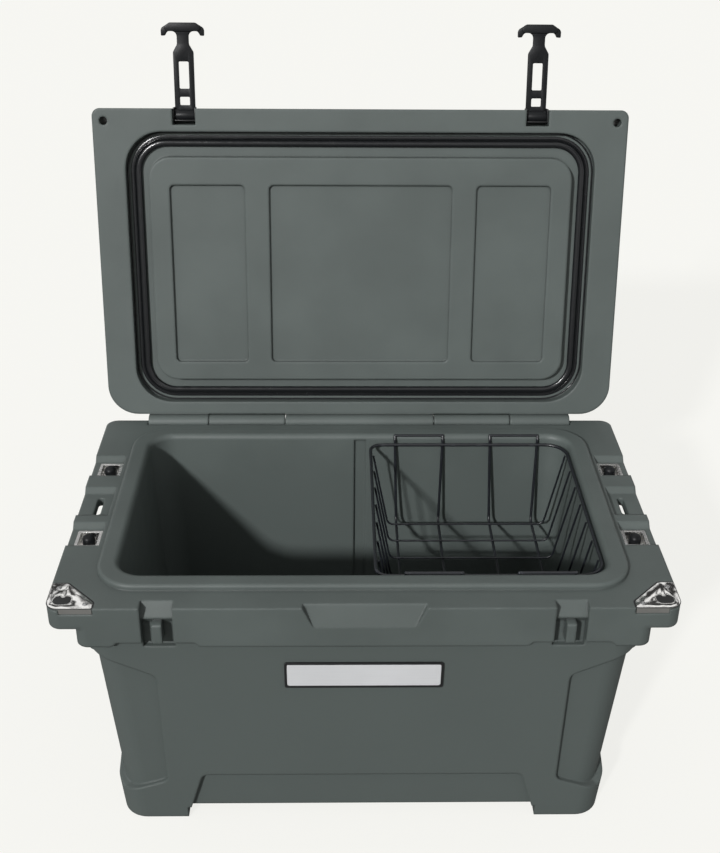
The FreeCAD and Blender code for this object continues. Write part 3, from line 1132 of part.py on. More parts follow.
def build_basket():
    top = value("rim_height - basket_drop")
    low = top - value("basket_deep")
    left, right = value("basket_left"), value("basket_right")
    half = value("basket_half")
    corners = [value("far_corner")] * 2 + [value("near_corner")] * 2
    taper = value("basket_taper")
    middle = (left + right) / 2.0
    rim = [Vector(middle, -half, top), Vector(right, -half, top), Vector(right, half, top),
           Vector(left, half, top), Vector(left, -half, top)]
    add_shape("basket_rim", closed_rod(rim, corners, value("rim_rod")))
    rib = value("rib_rod")
    inset = (value("rim_rod") + rib) / 2.0
    ribs = []
    count = int(value("rib_count"))
    for number in range(count):
        y = (number - (count - 1) / 2.0) * value("rib_pitch")
        route = [Vector(left + inset, y, top), Vector(left + taper + inset, y, low),
                 Vector(right - taper - inset, y, low), Vector(right - inset, y, top)]
        ribs.append(arc_rod(route, [value("rib_bend")] * 2, rib)[0])
    add_shape("basket_ribs", Part.makeCompound(ribs))
    leg = value("leg_rod")
    ledge = value("ring_top - ring_lip")
    lip = value("cavity_depth / 2 + ring_lip")
    seat = (value("ring_lip") + leg / 2.0 + 2.0 * value("fit_gap")) / math.sqrt(2.0)
    hook_y, hook_z = lip - seat, ledge + seat
    knee = ledge + value("hook_knee")
    base = low - (rib + leg) / 2.0
    lean = taper * (knee - top) / (knee - base)
    outer = half + (value("rim_rod") + leg) / 2.0 + value("fit_gap") + lean
    inner = outer - taper
    for number, name in enumerate(("loop_one", "loop_two")):
        start = value(name)
        end = start + value("loop_width")
        shapes = []
        for x, inwards in ((start, 1.0), (end, -1.0)):
            foot = x + inwards * value("loop_lean")
            route = [Vector(x, -hook_y, hook_z), Vector(x, -outer, knee), Vector(foot, -inner, base),
                     Vector(foot, inner, base), Vector(x, outer, knee), Vector(x, hook_y, hook_z)]
            bend, hook = value("rib_bend"), value("hook_bend")
            bends = [hook, bend, bend, hook]
            shapes.append(arc_rod(route, bends, leg)[0])
        for sign in (-1, 1):
            bar = Part.makeCylinder(leg / 2.0, end - start, Vector(start, sign * hook_y, hook_z),
                                    Vector(1, 0, 0))
            shapes.append(bar)
            for x in (start, end):
                shapes.append(Part.makeSphere(leg / 2.0, Vector(x, sign * hook_y, hook_z)))
        solid = shapes[0].multiFuse(shapes[1:])
        add_shape("basket_hanger_%d" % (number + 1), solid)


build_tub()
build_corner_plates()
build_badge()
build_drain()
build_handles()
build_lid()
build_basket()
doc.recompute()

failed = [item.Name for item in doc.Objects if "Invalid" in item.State or "Error" in item.State]
for label, thing in NODES.items():
    if thing.Shape.isNull() or not thing.Shape.isValid():
        failed.append(label)
if failed:
    raise ValueError("failed: " + ", ".join(sorted(set(failed))))

os.makedirs("parts", exist_ok=True)
for label, thing in NODES.items():
    thing.Shape.exportStep("parts/%s.step" % label)
    box = thing.Shape.BoundBox
    print("%-24s solids %2d volume %10.1f  z %7.1f..%7.1f" % (
        label, len(thing.Shape.Solids), thing.Shape.Volume, box.ZMin, box.ZMax))
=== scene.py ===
"""Finishes, rubber, rope and trim of an open hard-walled cooler box.

Lengths are in metres, +Z is up, the front faces -Y, and the lid stands open at rest.
"""
from __future__ import annotations

import json
import logging
import math
from dataclasses import dataclass
from enum import Enum
from typing import Callable, Iterable, Sequence

import bmesh
import bpy
from mathutils import Matrix, Vector


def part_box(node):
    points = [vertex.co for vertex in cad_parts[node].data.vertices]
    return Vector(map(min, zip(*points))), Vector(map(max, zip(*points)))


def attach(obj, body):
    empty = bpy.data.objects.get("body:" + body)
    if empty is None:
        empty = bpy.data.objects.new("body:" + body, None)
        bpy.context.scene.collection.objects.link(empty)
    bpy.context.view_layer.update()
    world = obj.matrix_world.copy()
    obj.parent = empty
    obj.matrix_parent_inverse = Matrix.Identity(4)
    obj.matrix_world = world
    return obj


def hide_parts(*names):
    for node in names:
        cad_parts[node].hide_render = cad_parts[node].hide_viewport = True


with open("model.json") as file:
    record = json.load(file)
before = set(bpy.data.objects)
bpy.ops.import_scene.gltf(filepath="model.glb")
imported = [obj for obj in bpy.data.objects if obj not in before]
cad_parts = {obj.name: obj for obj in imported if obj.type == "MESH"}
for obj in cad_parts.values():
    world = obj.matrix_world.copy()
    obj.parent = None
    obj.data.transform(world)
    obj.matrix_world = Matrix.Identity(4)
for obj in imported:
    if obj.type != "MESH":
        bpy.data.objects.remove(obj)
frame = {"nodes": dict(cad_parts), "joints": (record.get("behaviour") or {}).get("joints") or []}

log = logging.getLogger("cooler_box")

MM = 0.001
Corner = tuple[float, float, float]
Colour = tuple[float, float, float]


class Side(Enum):
    """Left or right of someone facing the front."""

    LEFT = "left"
    RIGHT = "right"

    @property
    def sign(self) -> float:
        """Which way the side lies along X."""
        return -1.0 if self is Side.LEFT else 1.0


class Turn(Enum):
    """Which way a smooth step runs."""

    UP = "up"
    DOWN = "down"


def linear(red: int, green: int, blue: int) -> Colour:
    """A display colour of 0 to 255 as linear light.

    Args:
        red, green, blue: display values.

    Returns:
        Three linear values.
    """
    def channel(level: int) -> float:
        """One channel of it."""
        share = level / 255.0
        return share / 12.92 if share <= 0.04045 else ((share + 0.055) / 1.055) ** 2.4

    return channel(red), channel(green), channel(blue)


# ------------------------------------------------------------------ shader building


class Term:
    """A number socket that takes part in arithmetic."""

    def __init__(self, tree: "Tree", socket: bpy.types.NodeSocket) -> None:
        """Wrap a socket of a tree."""
        self.tree = tree
        self.socket = socket

    def _join(self, operation: str, first: object, second: object) -> "Term":
        """Add one Math node.

        Args:
            operation: the node's operation.
            first, second: terms or numbers.

        Returns:
            The node's result.
        """
        node = self.tree.node("ShaderNodeMath", {"operation": operation}, {0: first, 1: second})
        return Term(self.tree, node.outputs[0])

    def __add__(self, other: object) -> "Term":
        """Sum."""
        return self._join("ADD", self, other)

    __radd__ = __add__

    def __sub__(self, other: object) -> "Term":
        """Difference."""
        return self._join("SUBTRACT", self, other)

    def __rsub__(self, other: object) -> "Term":
        """Reflected difference."""
        return self._join("SUBTRACT", other, self)

    def __mul__(self, other: object) -> "Term":
        """Product."""
        return self._join("MULTIPLY", self, other)

    __rmul__ = __mul__

    def sine(self) -> "Term":
        """Sine of the term."""
        return self._join("SINE", self, 0.0)

    def step(self, low: float, high: float, turn: Turn = Turn.UP) -> "Term":
        """Smooth step between two values.

        Args:
            low, high: where the step starts and ends.
            turn: whether it rises or falls.

        Returns:
            A term between 0 and 1.
        """
        ends = (0.0, 1.0) if turn is Turn.UP else (1.0, 0.0)
        node = self.tree.node("ShaderNodeMapRange", {"interpolation_type": "SMOOTHSTEP"},
                              {"Value": self, "From Min": low, "From Max": high,
                               "To Min": ends[0], "To Max": ends[1]})
        return Term(self.tree, node.outputs[0])


class Tree:
    """A node tree that nodes are added to."""

    def __init__(self, tree: bpy.types.NodeTree) -> None:
        """Wrap a node tree."""
        self.nodes = tree.nodes
        self.links = tree.links

    def feed(self, entry: bpy.types.NodeSocket, given: object) -> None:
        """Set or link one input.

        Args:
            entry: the input.
            given: a value, a term or a socket.
        """
        source = given.socket if isinstance(given, Term) else given
        if isinstance(source, bpy.types.NodeSocket):
            self.links.new(source, entry)
        elif isinstance(source, tuple) and len(source) == 3 and entry.type == "RGBA":
            entry.default_value = (*source, 1.0)
        else:
            entry.default_value = source

    def node(self, kind: str, settings: dict, sockets: dict) -> bpy.types.Node:
        """Add any node.

        Args:
            kind: the node's type.
            settings: its properties; "stops" are a ramp's (place, grey level) pairs.
            sockets: values, terms or sockets for its inputs.

        Returns:
            The node.
        """
        made = self.nodes.new(kind)
        for name, setting in settings.items():
            if name != "stops":
                setattr(made, name, setting)
                continue
            ramp = made.color_ramp
            while len(ramp.elements) < len(setting):
                ramp.elements.new(1.0)
            for element, (place, level) in zip(ramp.elements, setting):
                element.position = place
                element.color = (level, level, level, 1.0)
        for key, given in sockets.items():
            self.feed(made.inputs[key], given)
        return made


class MaterialTree(Tree):
    """A material's node tree, with its shader and its coordinates."""

    def __init__(self, name: str) -> None:
        """Start an empty material.

        Args:
            name: the material's name.
        """
        self.material = bpy.data.materials.new(name)
        self.material.use_nodes = True
        super().__init__(self.material.node_tree)
        self.shader = self.nodes["Principled BSDF"]
        self.place = self.node("ShaderNodeTexCoord", {}, {}).outputs["Object"]

    def noise(self, scale: float, detail: float = 3.0, stretch: Corner = (1.0, 1.0, 1.0)) -> Term:
        """Noise on the object's own coordinates.

        Args:
            scale: features per metre.
            detail: octaves.
            stretch: factor along each axis.

        Returns:
            A term about 0.5.
        """
        mapped = self.node("ShaderNodeMapping", {}, {"Vector": self.place, "Scale": stretch})
        made = self.node("ShaderNodeTexNoise", {}, {"Vector": mapped.outputs[0], "Scale": scale,
                                                     "Detail": detail})
        return Term(self, made.outputs["Fac"])

    def cells(self, scale: float) -> Term:
        """Distance to the nearest point of a scatter, in shares of a cell."""
        made = self.node("ShaderNodeTexVoronoi", {}, {"Vector": self.place, "Scale": scale})
        return Term(self, made.outputs["Distance"])

    def blend(self, first: object, second: object, share: object) -> bpy.types.NodeSocket:
        """Mix two colours.

        Args:
            first, second: colours or colour sockets.
            share: how much of the second, a term or a number.

        Returns:
            The mixed colour's socket.
        """
        made = self.node("ShaderNodeMix", {"data_type": "RGBA"}, {0: share, 6: first, 7: second})
        return made.outputs[2]

    def edge_normal(self, radius: float) -> bpy.types.NodeSocket:
        """Normal that rounds corners off by a radius."""
        return self.node("ShaderNodeBevel", {"samples": 6}, {"Radius": radius}).outputs[0]

    def edge_share(self, radius: float) -> Term:
        """How near a point is to a corner, 0 on the flat and 1 at the corner."""
        rounded = self.edge_normal(radius)
        plain = self.node("ShaderNodeNewGeometry", {}, {}).outputs["Normal"]
        made = self.node("ShaderNodeVectorMath", {"operation": "DOT_PRODUCT"}, {0: rounded, 1: plain})
        return Term(self, made.outputs["Value"]).step(0.80, 0.995, Turn.DOWN)

    def crease(self, reach: float) -> Term:
        """How deep in a corner or a groove a point lies, 0 in the open and 1 in the crease."""
        made = self.node("ShaderNodeAmbientOcclusion", {"samples": 6, "only_local": True},
                         {"Distance": reach})
        return Term(self, made.outputs["AO"]).step(0.30, 0.80, Turn.DOWN)

    def height(self) -> Term:
        """Height above the floor in metres."""
        return Term(self, self.node("ShaderNodeSeparateXYZ", {}, {0: self.place}).outputs[2])

    def relief(self, height: Term, depth: float, normal: bpy.types.NodeSocket | None = None) -> None:
        """Drive the shader's normal with a height.

        Args:
            height: a term of 0 to 1.
            depth: its size in metres.
            normal: what the relief stands on.
        """
        sockets = {"Height": height, "Distance": depth, "Strength": 1.0}
        if normal is not None:
            sockets["Normal"] = normal
        made = self.node("ShaderNodeBump", {}, sockets)
        self.links.new(made.outputs[0], self.shader.inputs["Normal"])

    def put(self, **sockets: object) -> None:
        """Set the shader's inputs; an underscore stands for a space."""
        for name, given in sockets.items():
            self.feed(self.shader.inputs[name.replace("_", " ")], given)


# ------------------------------------------------------------------ finishes


@dataclass(frozen=True)
class MouldedPlastic:
    """Satin skin of a rotomoulded shell: clouded colour, fine orange peel, scuffed edges, painted shade in
    its creases and, where set, painted shade towards the bottom.
    """

    colour: Colour
    cloud: float = 0.10
    roughness: float = 0.50
    peel: float = 0.00010
    rounding: float = 0.0038
    # Reach of the painted shade that darkens corners, grooves and seams.
    crease_shade_reach: float = 0.007
    # Share by which painted shade darkens the colour towards the bottom.
    low_shade: float = 0.0

    def make(self, name: str) -> bpy.types.Material:
        """Build the material."""
        tree = MaterialTree(name)
        cloud = tree.noise(9.0, 4.0)
        speck = tree.noise(1400.0, 1.0).step(0.62, 0.74)
        darker = tuple(level * (1.0 - self.cloud) for level in self.colour)
        lighter = tuple(level * (1.0 + self.cloud) for level in self.colour)
        base = tree.blend(darker, lighter, cloud.step(0.25, 0.75))
        base = tree.blend(base, tuple(level * 1.35 for level in self.colour), speck * 0.18)
        scuff = tree.edge_share(0.0022) * tree.noise(55.0, 4.0).step(0.42, 0.66)
        base = tree.blend(base, tuple(level * 1.7 for level in self.colour), scuff * 0.30)
        # Painted shade: the colour is darkened in corners, grooves and seams, where shade falls.
        base = tree.blend(base, tuple(level * 0.30 for level in self.colour), tree.crease(self.crease_shade_reach) * 0.75)
        # Painted shade: the colour is darkened towards the bottom of the walls, which get less light under
        # the rim's band.
        if self.low_shade > 0.0:
            base = tree.blend(base, tuple(level * (1.0 - self.low_shade) for level in self.colour),
                              tree.height().step(0.255, 0.292, Turn.DOWN) * 0.85)
        tree.put(Base_Color=base, Specular_IOR_Level=0.42,
                 Roughness=tree.noise(30.0, 3.0) * 0.12 + (self.roughness - 0.06) + scuff * 0.08)
        height = tree.noise(420.0, 2.0) * 0.7 + tree.noise(90.0, 2.0) * 0.9 + tree.noise(12.0, 2.0) * 1.8
        tree.relief(height, self.peel, tree.edge_normal(self.rounding))
        return tree.material


@dataclass(frozen=True)
class Rubber:
    """Moulded black rubber with dust in its grain."""

    colour: Colour = (0.0075, 0.0082, 0.0092)
    roughness: float = 0.42
    dust: float = 0.10
    shine: float = 0.22
    rounding: float = 0.0008

    def make(self, name: str) -> bpy.types.Material:
        """Build the material."""
        tree = MaterialTree(name)
        dusty = tree.noise(60.0, 5.0).step(0.50, 0.74)
        base = tree.blend(self.colour, tuple(level * 3.2 + 0.006 for level in self.colour), dusty * self.dust)
        tree.put(Base_Color=base, Roughness=tree.noise(140.0, 3.0) * 0.16 + (self.roughness - 0.08),
                 Specular_IOR_Level=self.shine)
        height = tree.noise(1600.0, 2.0) * 0.5 + tree.noise(260.0, 2.0)
        tree.relief(height, 0.00008, tree.edge_normal(self.rounding))
        return tree.material


@dataclass(frozen=True)
class PolishedSteel:
    """Pressed stainless steel, bright, with hairlines and finger smears."""

    colour: Colour = (0.80, 0.79, 0.77)
    roughness: float = 0.07
    rounding: float = 0.0010
    wave: float = 0.0014

    def make(self, name: str) -> bpy.types.Material:
        """Build the material."""
        tree = MaterialTree(name)
        smear = tree.noise(70.0, 4.0).step(0.45, 0.72)
        hair = tree.noise(900.0, 2.0, (1.0, 14.0, 14.0))
        base = tree.blend(self.colour, tuple(level * 0.80 for level in self.colour), smear * 0.5)
        tree.put(Base_Color=base, Metallic=1.0,
                 Roughness=smear * 0.12 + hair * 0.06 + (self.roughness - 0.03))
        tree.relief(tree.noise(52.0, 1.0) + hair * 0.01, self.wave, tree.edge_normal(self.rounding))
        return tree.material


@dataclass(frozen=True)
class BrushedPlate:
    """Silver plate brushed from side to side."""

    colour: Colour = (0.86, 0.87, 0.89)
    roughness: float = 0.40

    def make(self, name: str) -> bpy.types.Material:
        """Build the material."""
        tree = MaterialTree(name)
        brush = tree.noise(160.0, 3.0, (0.12, 22.0, 22.0))
        tone = tree.noise(14.0, 3.0).step(0.3, 0.7)
        base = tree.blend(self.colour, tuple(level * 0.82 for level in self.colour), brush * 0.7)
        base = tree.blend(base, tuple(level * 1.12 for level in self.colour), tone * 0.25)
        tree.put(Base_Color=base, Metallic=0.45, Roughness=brush * 0.16 + (self.roughness - 0.08))
        tree.relief(brush, 0.00004, tree.edge_normal(0.0006))
        return tree.material


@dataclass(frozen=True)
class CoatedWire:
    """Steel wire dipped in black plastic, thick and thin, rubbed lighter in patches."""

    colour: Colour = (0.0080, 0.0092, 0.0120)
    roughness: float = 0.34

    def make(self, name: str) -> bpy.types.Material:
        """Build the material."""
        tree = MaterialTree(name)
        rubbed = tree.noise(110.0, 4.0).step(0.56, 0.78)
        base = tree.blend(self.colour, tuple(level * 4.0 for level in self.colour), rubbed * 0.45)
        tree.put(Base_Color=base, Roughness=rubbed * 0.2 + self.roughness, Coat_Weight=0.15)
        tree.relief(tree.noise(330.0, 2.0), 0.00022)
        return tree.material


@dataclass(frozen=True)
class BraidedRope:
    """Black polyester braid: crossing strands along the piece's own UV map."""

    colour: Colour = (0.013, 0.014, 0.016)
    pitch: float = 0.0042
    strands: int = 8

    def make(self, name: str) -> bpy.types.Material:
        """Build the material."""
        tree = MaterialTree(name)
        split = tree.node("ShaderNodeSeparateXYZ", {}, {0: tree.node("ShaderNodeUVMap", {}, {}).outputs[0]})
        along = Term(tree, split.outputs[0]) * (math.tau / self.pitch)
        around = Term(tree, split.outputs[1]) * (math.tau * self.strands / 2)
        weave = ((along + around).sine() * (along - around).sine()) * 0.5 + 0.5
        fibre = tree.noise(2600.0, 2.0)
        base = tree.blend(self.colour, tuple(level * 2.6 for level in self.colour), weave * (fibre * 0.7))
        tree.put(Base_Color=base, Roughness=0.86 - weave * 0.18, Sheen_Weight=0.25, Sheen_Roughness=0.4)
        tree.relief(weave + fibre * 0.25, 0.0007)
        return tree.material


@dataclass(frozen=True)
class CutFoam:
    """Closed-cell foam."""

    colour: Colour = (0.78, 0.68, 0.42)

    def make(self, name: str) -> bpy.types.Material:
        """Build the material."""
        tree = MaterialTree(name)
        cell = tree.cells(520.0)
        base = tree.blend(tuple(level * 0.7 for level in self.colour), self.colour, cell.step(0.1, 0.6))
        tree.put(Base_Color=base, Roughness=0.92 - tree.noise(40.0) * 0.1)
        tree.relief(cell, 0.0006)
        return tree.material


@dataclass(frozen=True)
class StudioPaper:
    """Backlit pale backdrop that throws little light back at what stands on it."""

    colour: Colour = (0.925, 0.922, 0.888)
    bounce: Colour = (0.20, 0.20, 0.195)
    lit: float = 0.88

    def make(self, name: str) -> bpy.types.Material:
        """Build the material."""
        tree = MaterialTree(name)
        base = tree.blend(self.colour, tuple(level * 0.985 for level in self.colour), tree.noise(1.4, 2.0))
        tree.put(Base_Color=base, Roughness=0.96, Specular_IOR_Level=0.05)
        glow = tree.node("ShaderNodeEmission", {}, {"Color": self.colour, "Strength": 1.0})
        dull = tree.node("ShaderNodeBsdfDiffuse", {}, {"Color": self.bounce})
        seen = tree.node("ShaderNodeMixShader", {}, {0: self.lit, 1: tree.shader.outputs[0],
                                                      2: glow.outputs[0]})
        camera = tree.node("ShaderNodeLightPath", {}, {}).outputs["Is Camera Ray"]
        whole = tree.node("ShaderNodeMixShader", {}, {0: camera, 1: dull.outputs[0], 2: seen.outputs[0]})
        tree.links.new(whole.outputs[0], tree.nodes["Material Output"].inputs[0])
        return tree.material


SHELL = linear(78, 85, 83)


class Finishes:
    """Every material of the box, made once."""

    def __init__(self) -> None:
        """Make the materials."""
        self.shell = MouldedPlastic(SHELL).make("lid_plastic")
        # The tub's plastic carries painted shade towards the bottom of its walls.
        self.tub = MouldedPlastic(SHELL, low_shade=0.04).make("tub_plastic")
        self.rubber = Rubber().make("latch_rubber")
        gloss = Rubber(roughness=0.24, dust=0.04, shine=0.5, rounding=0.0006)
        self.gloss_rubber = gloss.make("gasket_rubber")
        self.grip_rubber = Rubber(roughness=0.58, dust=0.30).make("grip_rubber")
        self.pad_rubber = Rubber(roughness=0.70, dust=0.45).make("pad_rubber")
        self.trim = MouldedPlastic((0.012, 0.0125, 0.013), roughness=0.40, rounding=0.0006).make("black_trim")
        self.steel = PolishedSteel().make("polished_steel")
        self.pin = PolishedSteel((0.50, 0.50, 0.50), 0.26, wave=0.0003).make("turned_steel")
        self.cup = PolishedSteel((0.95, 0.94, 0.92), 0.24, wave=0.0001).make("satin_steel")
        self.badge = BrushedPlate().make("brushed_badge")
        self.wire = CoatedWire().make("coated_wire")
        self.rope = BraidedRope().make("braided_rope")
        self.foam = CutFoam().make("insulation_foam")

    def for_node(self, name: str) -> bpy.types.Material:
        """The finish of a part that keeps its own shape.

        Args:
            name: the node's name.

        Returns:
            Its material.
        """
        by_start = {
            "tub_shell": self.tub, "lid_shell": self.shell, "tub_foam": self.foam, "lid_foam": self.foam,
            "foot_pad": self.pad_rubber, "rope_end": self.rubber, "rope_": self.rope,
            "grip": self.grip_rubber, "latch_pin": self.pin, "hinge_pin": self.pin,
            "latch_": self.rubber, "lid_gasket": self.gloss_rubber,
            "corner_plate": self.steel, "plate_screws": self.pin, "handle_cup": self.cup,
            "badge_frame": self.trim, "badge_plate": self.badge, "basket": self.wire,
            "drain_washer": self.rubber, "drain_seal": self.rubber,
        }
        for start, material in by_start.items():
            if name.startswith(start):
                return material
        return self.trim


# ------------------------------------------------------------------ mesh building


def new_piece(name: str, mesh: bmesh.types.BMesh, material: bpy.types.Material, body: str,
              replaced: Sequence[str] = (), crease: float = 35.0) -> bpy.types.Object:
    """Turn a mesh into a piece that rides on a body.

    Args:
        name: the piece's name.
        mesh: its mesh, which is freed.
        material: its finish.
        body: the body that it rides on.
        replaced: nodes that it stands for.
        crease: angle in degrees past which an edge stays sharp.

    Returns:
        The piece.
    """
    data = bpy.data.meshes.new(name)
    mesh.to_mesh(data)
    mesh.free()
    data.materials.append(material)
    piece = bpy.data.objects.new(name, data)
    bpy.context.scene.collection.objects.link(piece)
    for polygon in data.polygons:
        polygon.use_smooth = True
    data.set_sharp_from_angle(angle=math.radians(crease))
    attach(piece, body)
    if replaced:
        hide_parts(*replaced)
    log.info("%s: %d faces on %s", name, len(data.polygons), body)
    return piece


def add_loop(mesh: bmesh.types.BMesh, corners: Iterable[Corner], segments: int = 6) -> list:
    """Closed wire through rounded corners.

    Args:
        mesh: the mesh that it goes into.
        corners: (across, along, radius) of each corner.
        segments: steps of each rounded corner.

    Returns:
        The wire's edges.
    """
    placed = [(mesh.verts.new((across, along, 0.0)), radius) for across, along, radius in corners]
    face = mesh.faces.new([vertex for vertex, _ in placed])
    for vertex, radius in placed:
        if radius > 0.0:
            around = [edge.other_vert(vertex).co - vertex.co for edge in vertex.link_edges]
            half = 0.5 * around[0].angle(around[1])
            bmesh.ops.bevel(mesh, geom=[vertex], offset=radius / math.tan(half), offset_type="OFFSET",
                            segments=segments, profile=0.5, affect="VERTICES", material=-1)
    face = next(item for item in mesh.faces if item.is_valid and len(item.edges) > 2)
    edges = list(face.edges)
    bmesh.ops.delete(mesh, geom=[face], context="FACES_ONLY")
    return edges


def plate_mesh(outline: Sequence[Corner], holes: Sequence[Sequence[Corner]], thickness: float,
               rounding: float) -> bmesh.types.BMesh:
    """Flat plate with holes and rounded edges, from z = 0 up.

    Args:
        outline: rounded corners of its edge.
        holes: rounded corners of each hole.
        thickness: its height.
        rounding: radius of its edges.

    Returns:
        The mesh.
    """
    mesh = bmesh.new()
    edges = add_loop(mesh, outline)
    for hole in holes:
        edges += add_loop(mesh, hole)
    bmesh.ops.triangle_fill(mesh, edges=edges, use_beauty=True)
    bmesh.ops.dissolve_limit(mesh, angle_limit=0.01, verts=mesh.verts, edges=mesh.edges)
    raised = bmesh.ops.extrude_face_region(mesh, geom=list(mesh.faces), use_keep_orig=True)
    moved = [item for item in raised["geom"] if isinstance(item, bmesh.types.BMVert)]
    bmesh.ops.translate(mesh, verts=moved, vec=(0.0, 0.0, thickness))
    bmesh.ops.recalc_face_normals(mesh, faces=mesh.faces)
    round_off(mesh, rounding, 2)
    return mesh


def round_off(mesh: bmesh.types.BMesh, radius: float, segments: int,
              test: Callable[[bmesh.types.BMEdge], bool] | None = None) -> None:
    """Round the sharp edges of a mesh.

    Args:
        mesh: the mesh.
        radius: the rounding's size.
        segments: its steps.
        test: which of the sharp edges to round.
    """
    sharp = [edge for edge in mesh.edges if len(edge.link_faces) == 2 and edge.calc_face_angle() > 0.9
             and (test is None or test(edge))]
    bmesh.ops.bevel(mesh, geom=sharp, offset=radius, offset_type="OFFSET", segments=segments, profile=0.5,
                    affect="EDGES", clamp_overlap=True, material=-1)


def sweep(path: Sequence[Vector], radius: float, steps: int, closed: bool, squeeze: float = 1.0,
          normal: Vector = Vector((0.0, 0.0, 1.0)), neck: float = 0.0) -> bmesh.types.BMesh:
    """Round tube along a path, with a UV map of its length and its turn.

    Args:
        path: the points of its centreline.
        radius: the tube's radius.
        steps: sides of the tube.
        closed: whether the path meets itself.
        squeeze: height of the section over its width.
        normal: a direction that the section is squeezed along.
        neck: length of the cone that each open end runs out in.

    Returns:
        The mesh.
    """
    mesh = bmesh.new()
    maps = mesh.loops.layers.uv.new("UVMap")
    count = len(path)
    rings = []
    run = 0.0
    whole = sum((after - before).length for before, after in zip(path, path[1:]))
    for index, point in enumerate(path):
        run += (point - path[index - 1]).length if index else 0.0
        share = max(0.05, min(1.0, run / neck, (whole - run) / neck)) if neck else 1.0
        before = path[index - 1] if closed or index else path[0]
        after = path[(index + 1) % count] if closed or index + 1 < count else path[-1]
        heading = (after - before).normalized()
        across = heading.cross(normal).normalized()
        up = across.cross(heading).normalized() * squeeze
        turn = Matrix((across, up, heading)).transposed().to_4x4()
        ring = bmesh.ops.create_circle(mesh, cap_ends=False, segments=steps, radius=radius * share,
                                       matrix=Matrix.Translation(point) @ turn)["verts"]
        rings.append((run, ring))
    where = {vertex: (along, number) for along, ring in rings for number, vertex in enumerate(ring)}
    pairs = list(zip(rings, rings[1:])) + ([(rings[-1], rings[0])] if closed else [])
    for (_, first), (_, second) in pairs:
        edges = {edge for ring in (first, second) for vertex in ring for edge in vertex.link_edges
                 if edge.other_vert(vertex) in ring}
        bmesh.ops.bridge_loops(mesh, edges=list(edges))
    for face in mesh.faces:
        numbers = [where[loop.vert][1] for loop in face.loops]
        for loop in face.loops:
            along, number = where[loop.vert]
            wrapped = number + steps if number == 0 and max(numbers) == steps - 1 else number
            loop[maps].uv = (along, wrapped / steps)
    if not closed:
        for _, ring in (rings[0], rings[-1]):
            bmesh.ops.contextual_create(mesh, geom=ring)
    bmesh.ops.recalc_face_normals(mesh, faces=mesh.faces)
    return mesh


def joined(meshes: Sequence[bmesh.types.BMesh]) -> bmesh.types.BMesh:
    """Several meshes as one.

    Args:
        meshes: the meshes, which are freed.

    Returns:
        The joined mesh.
    """
    whole = bmesh.new()
    for mesh in meshes:
        data = bpy.data.meshes.new("part")
        mesh.to_mesh(data)
        mesh.free()
        whole.from_mesh(data)
        bpy.data.meshes.remove(data)
    return whole


def centre(node: str) -> Vector:
    """Middle of a node's box."""
    low, high = (Vector(corner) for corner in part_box(node))
    return (low + high) / 2.0


LID_ANGLE = math.radians(-frame["joints"][0]["range_deg"][0])
LID_FRONT = Vector((0.0, -math.cos(LID_ANGLE), math.sin(LID_ANGLE)))
LID_TOP = Vector((0.0, math.sin(LID_ANGLE), math.cos(LID_ANGLE)))


def lid_space(origin: Vector) -> Matrix:
    """Axes across the lid, towards its front edge and out of its top, at a point."""
    return Matrix.Translation(origin) @ Matrix((Vector((1, 0, 0)), LID_FRONT, LID_TOP)).transposed().to_4x4()


def frame_depth(node: str) -> float:
    """Length of a lid node from its front edge to its rear."""
    reach = [vertex.co.dot(LID_FRONT) for vertex in frame["nodes"][node].data.vertices]
    return max(reach) - min(reach)


# ------------------------------------------------------------------ sub-assemblies


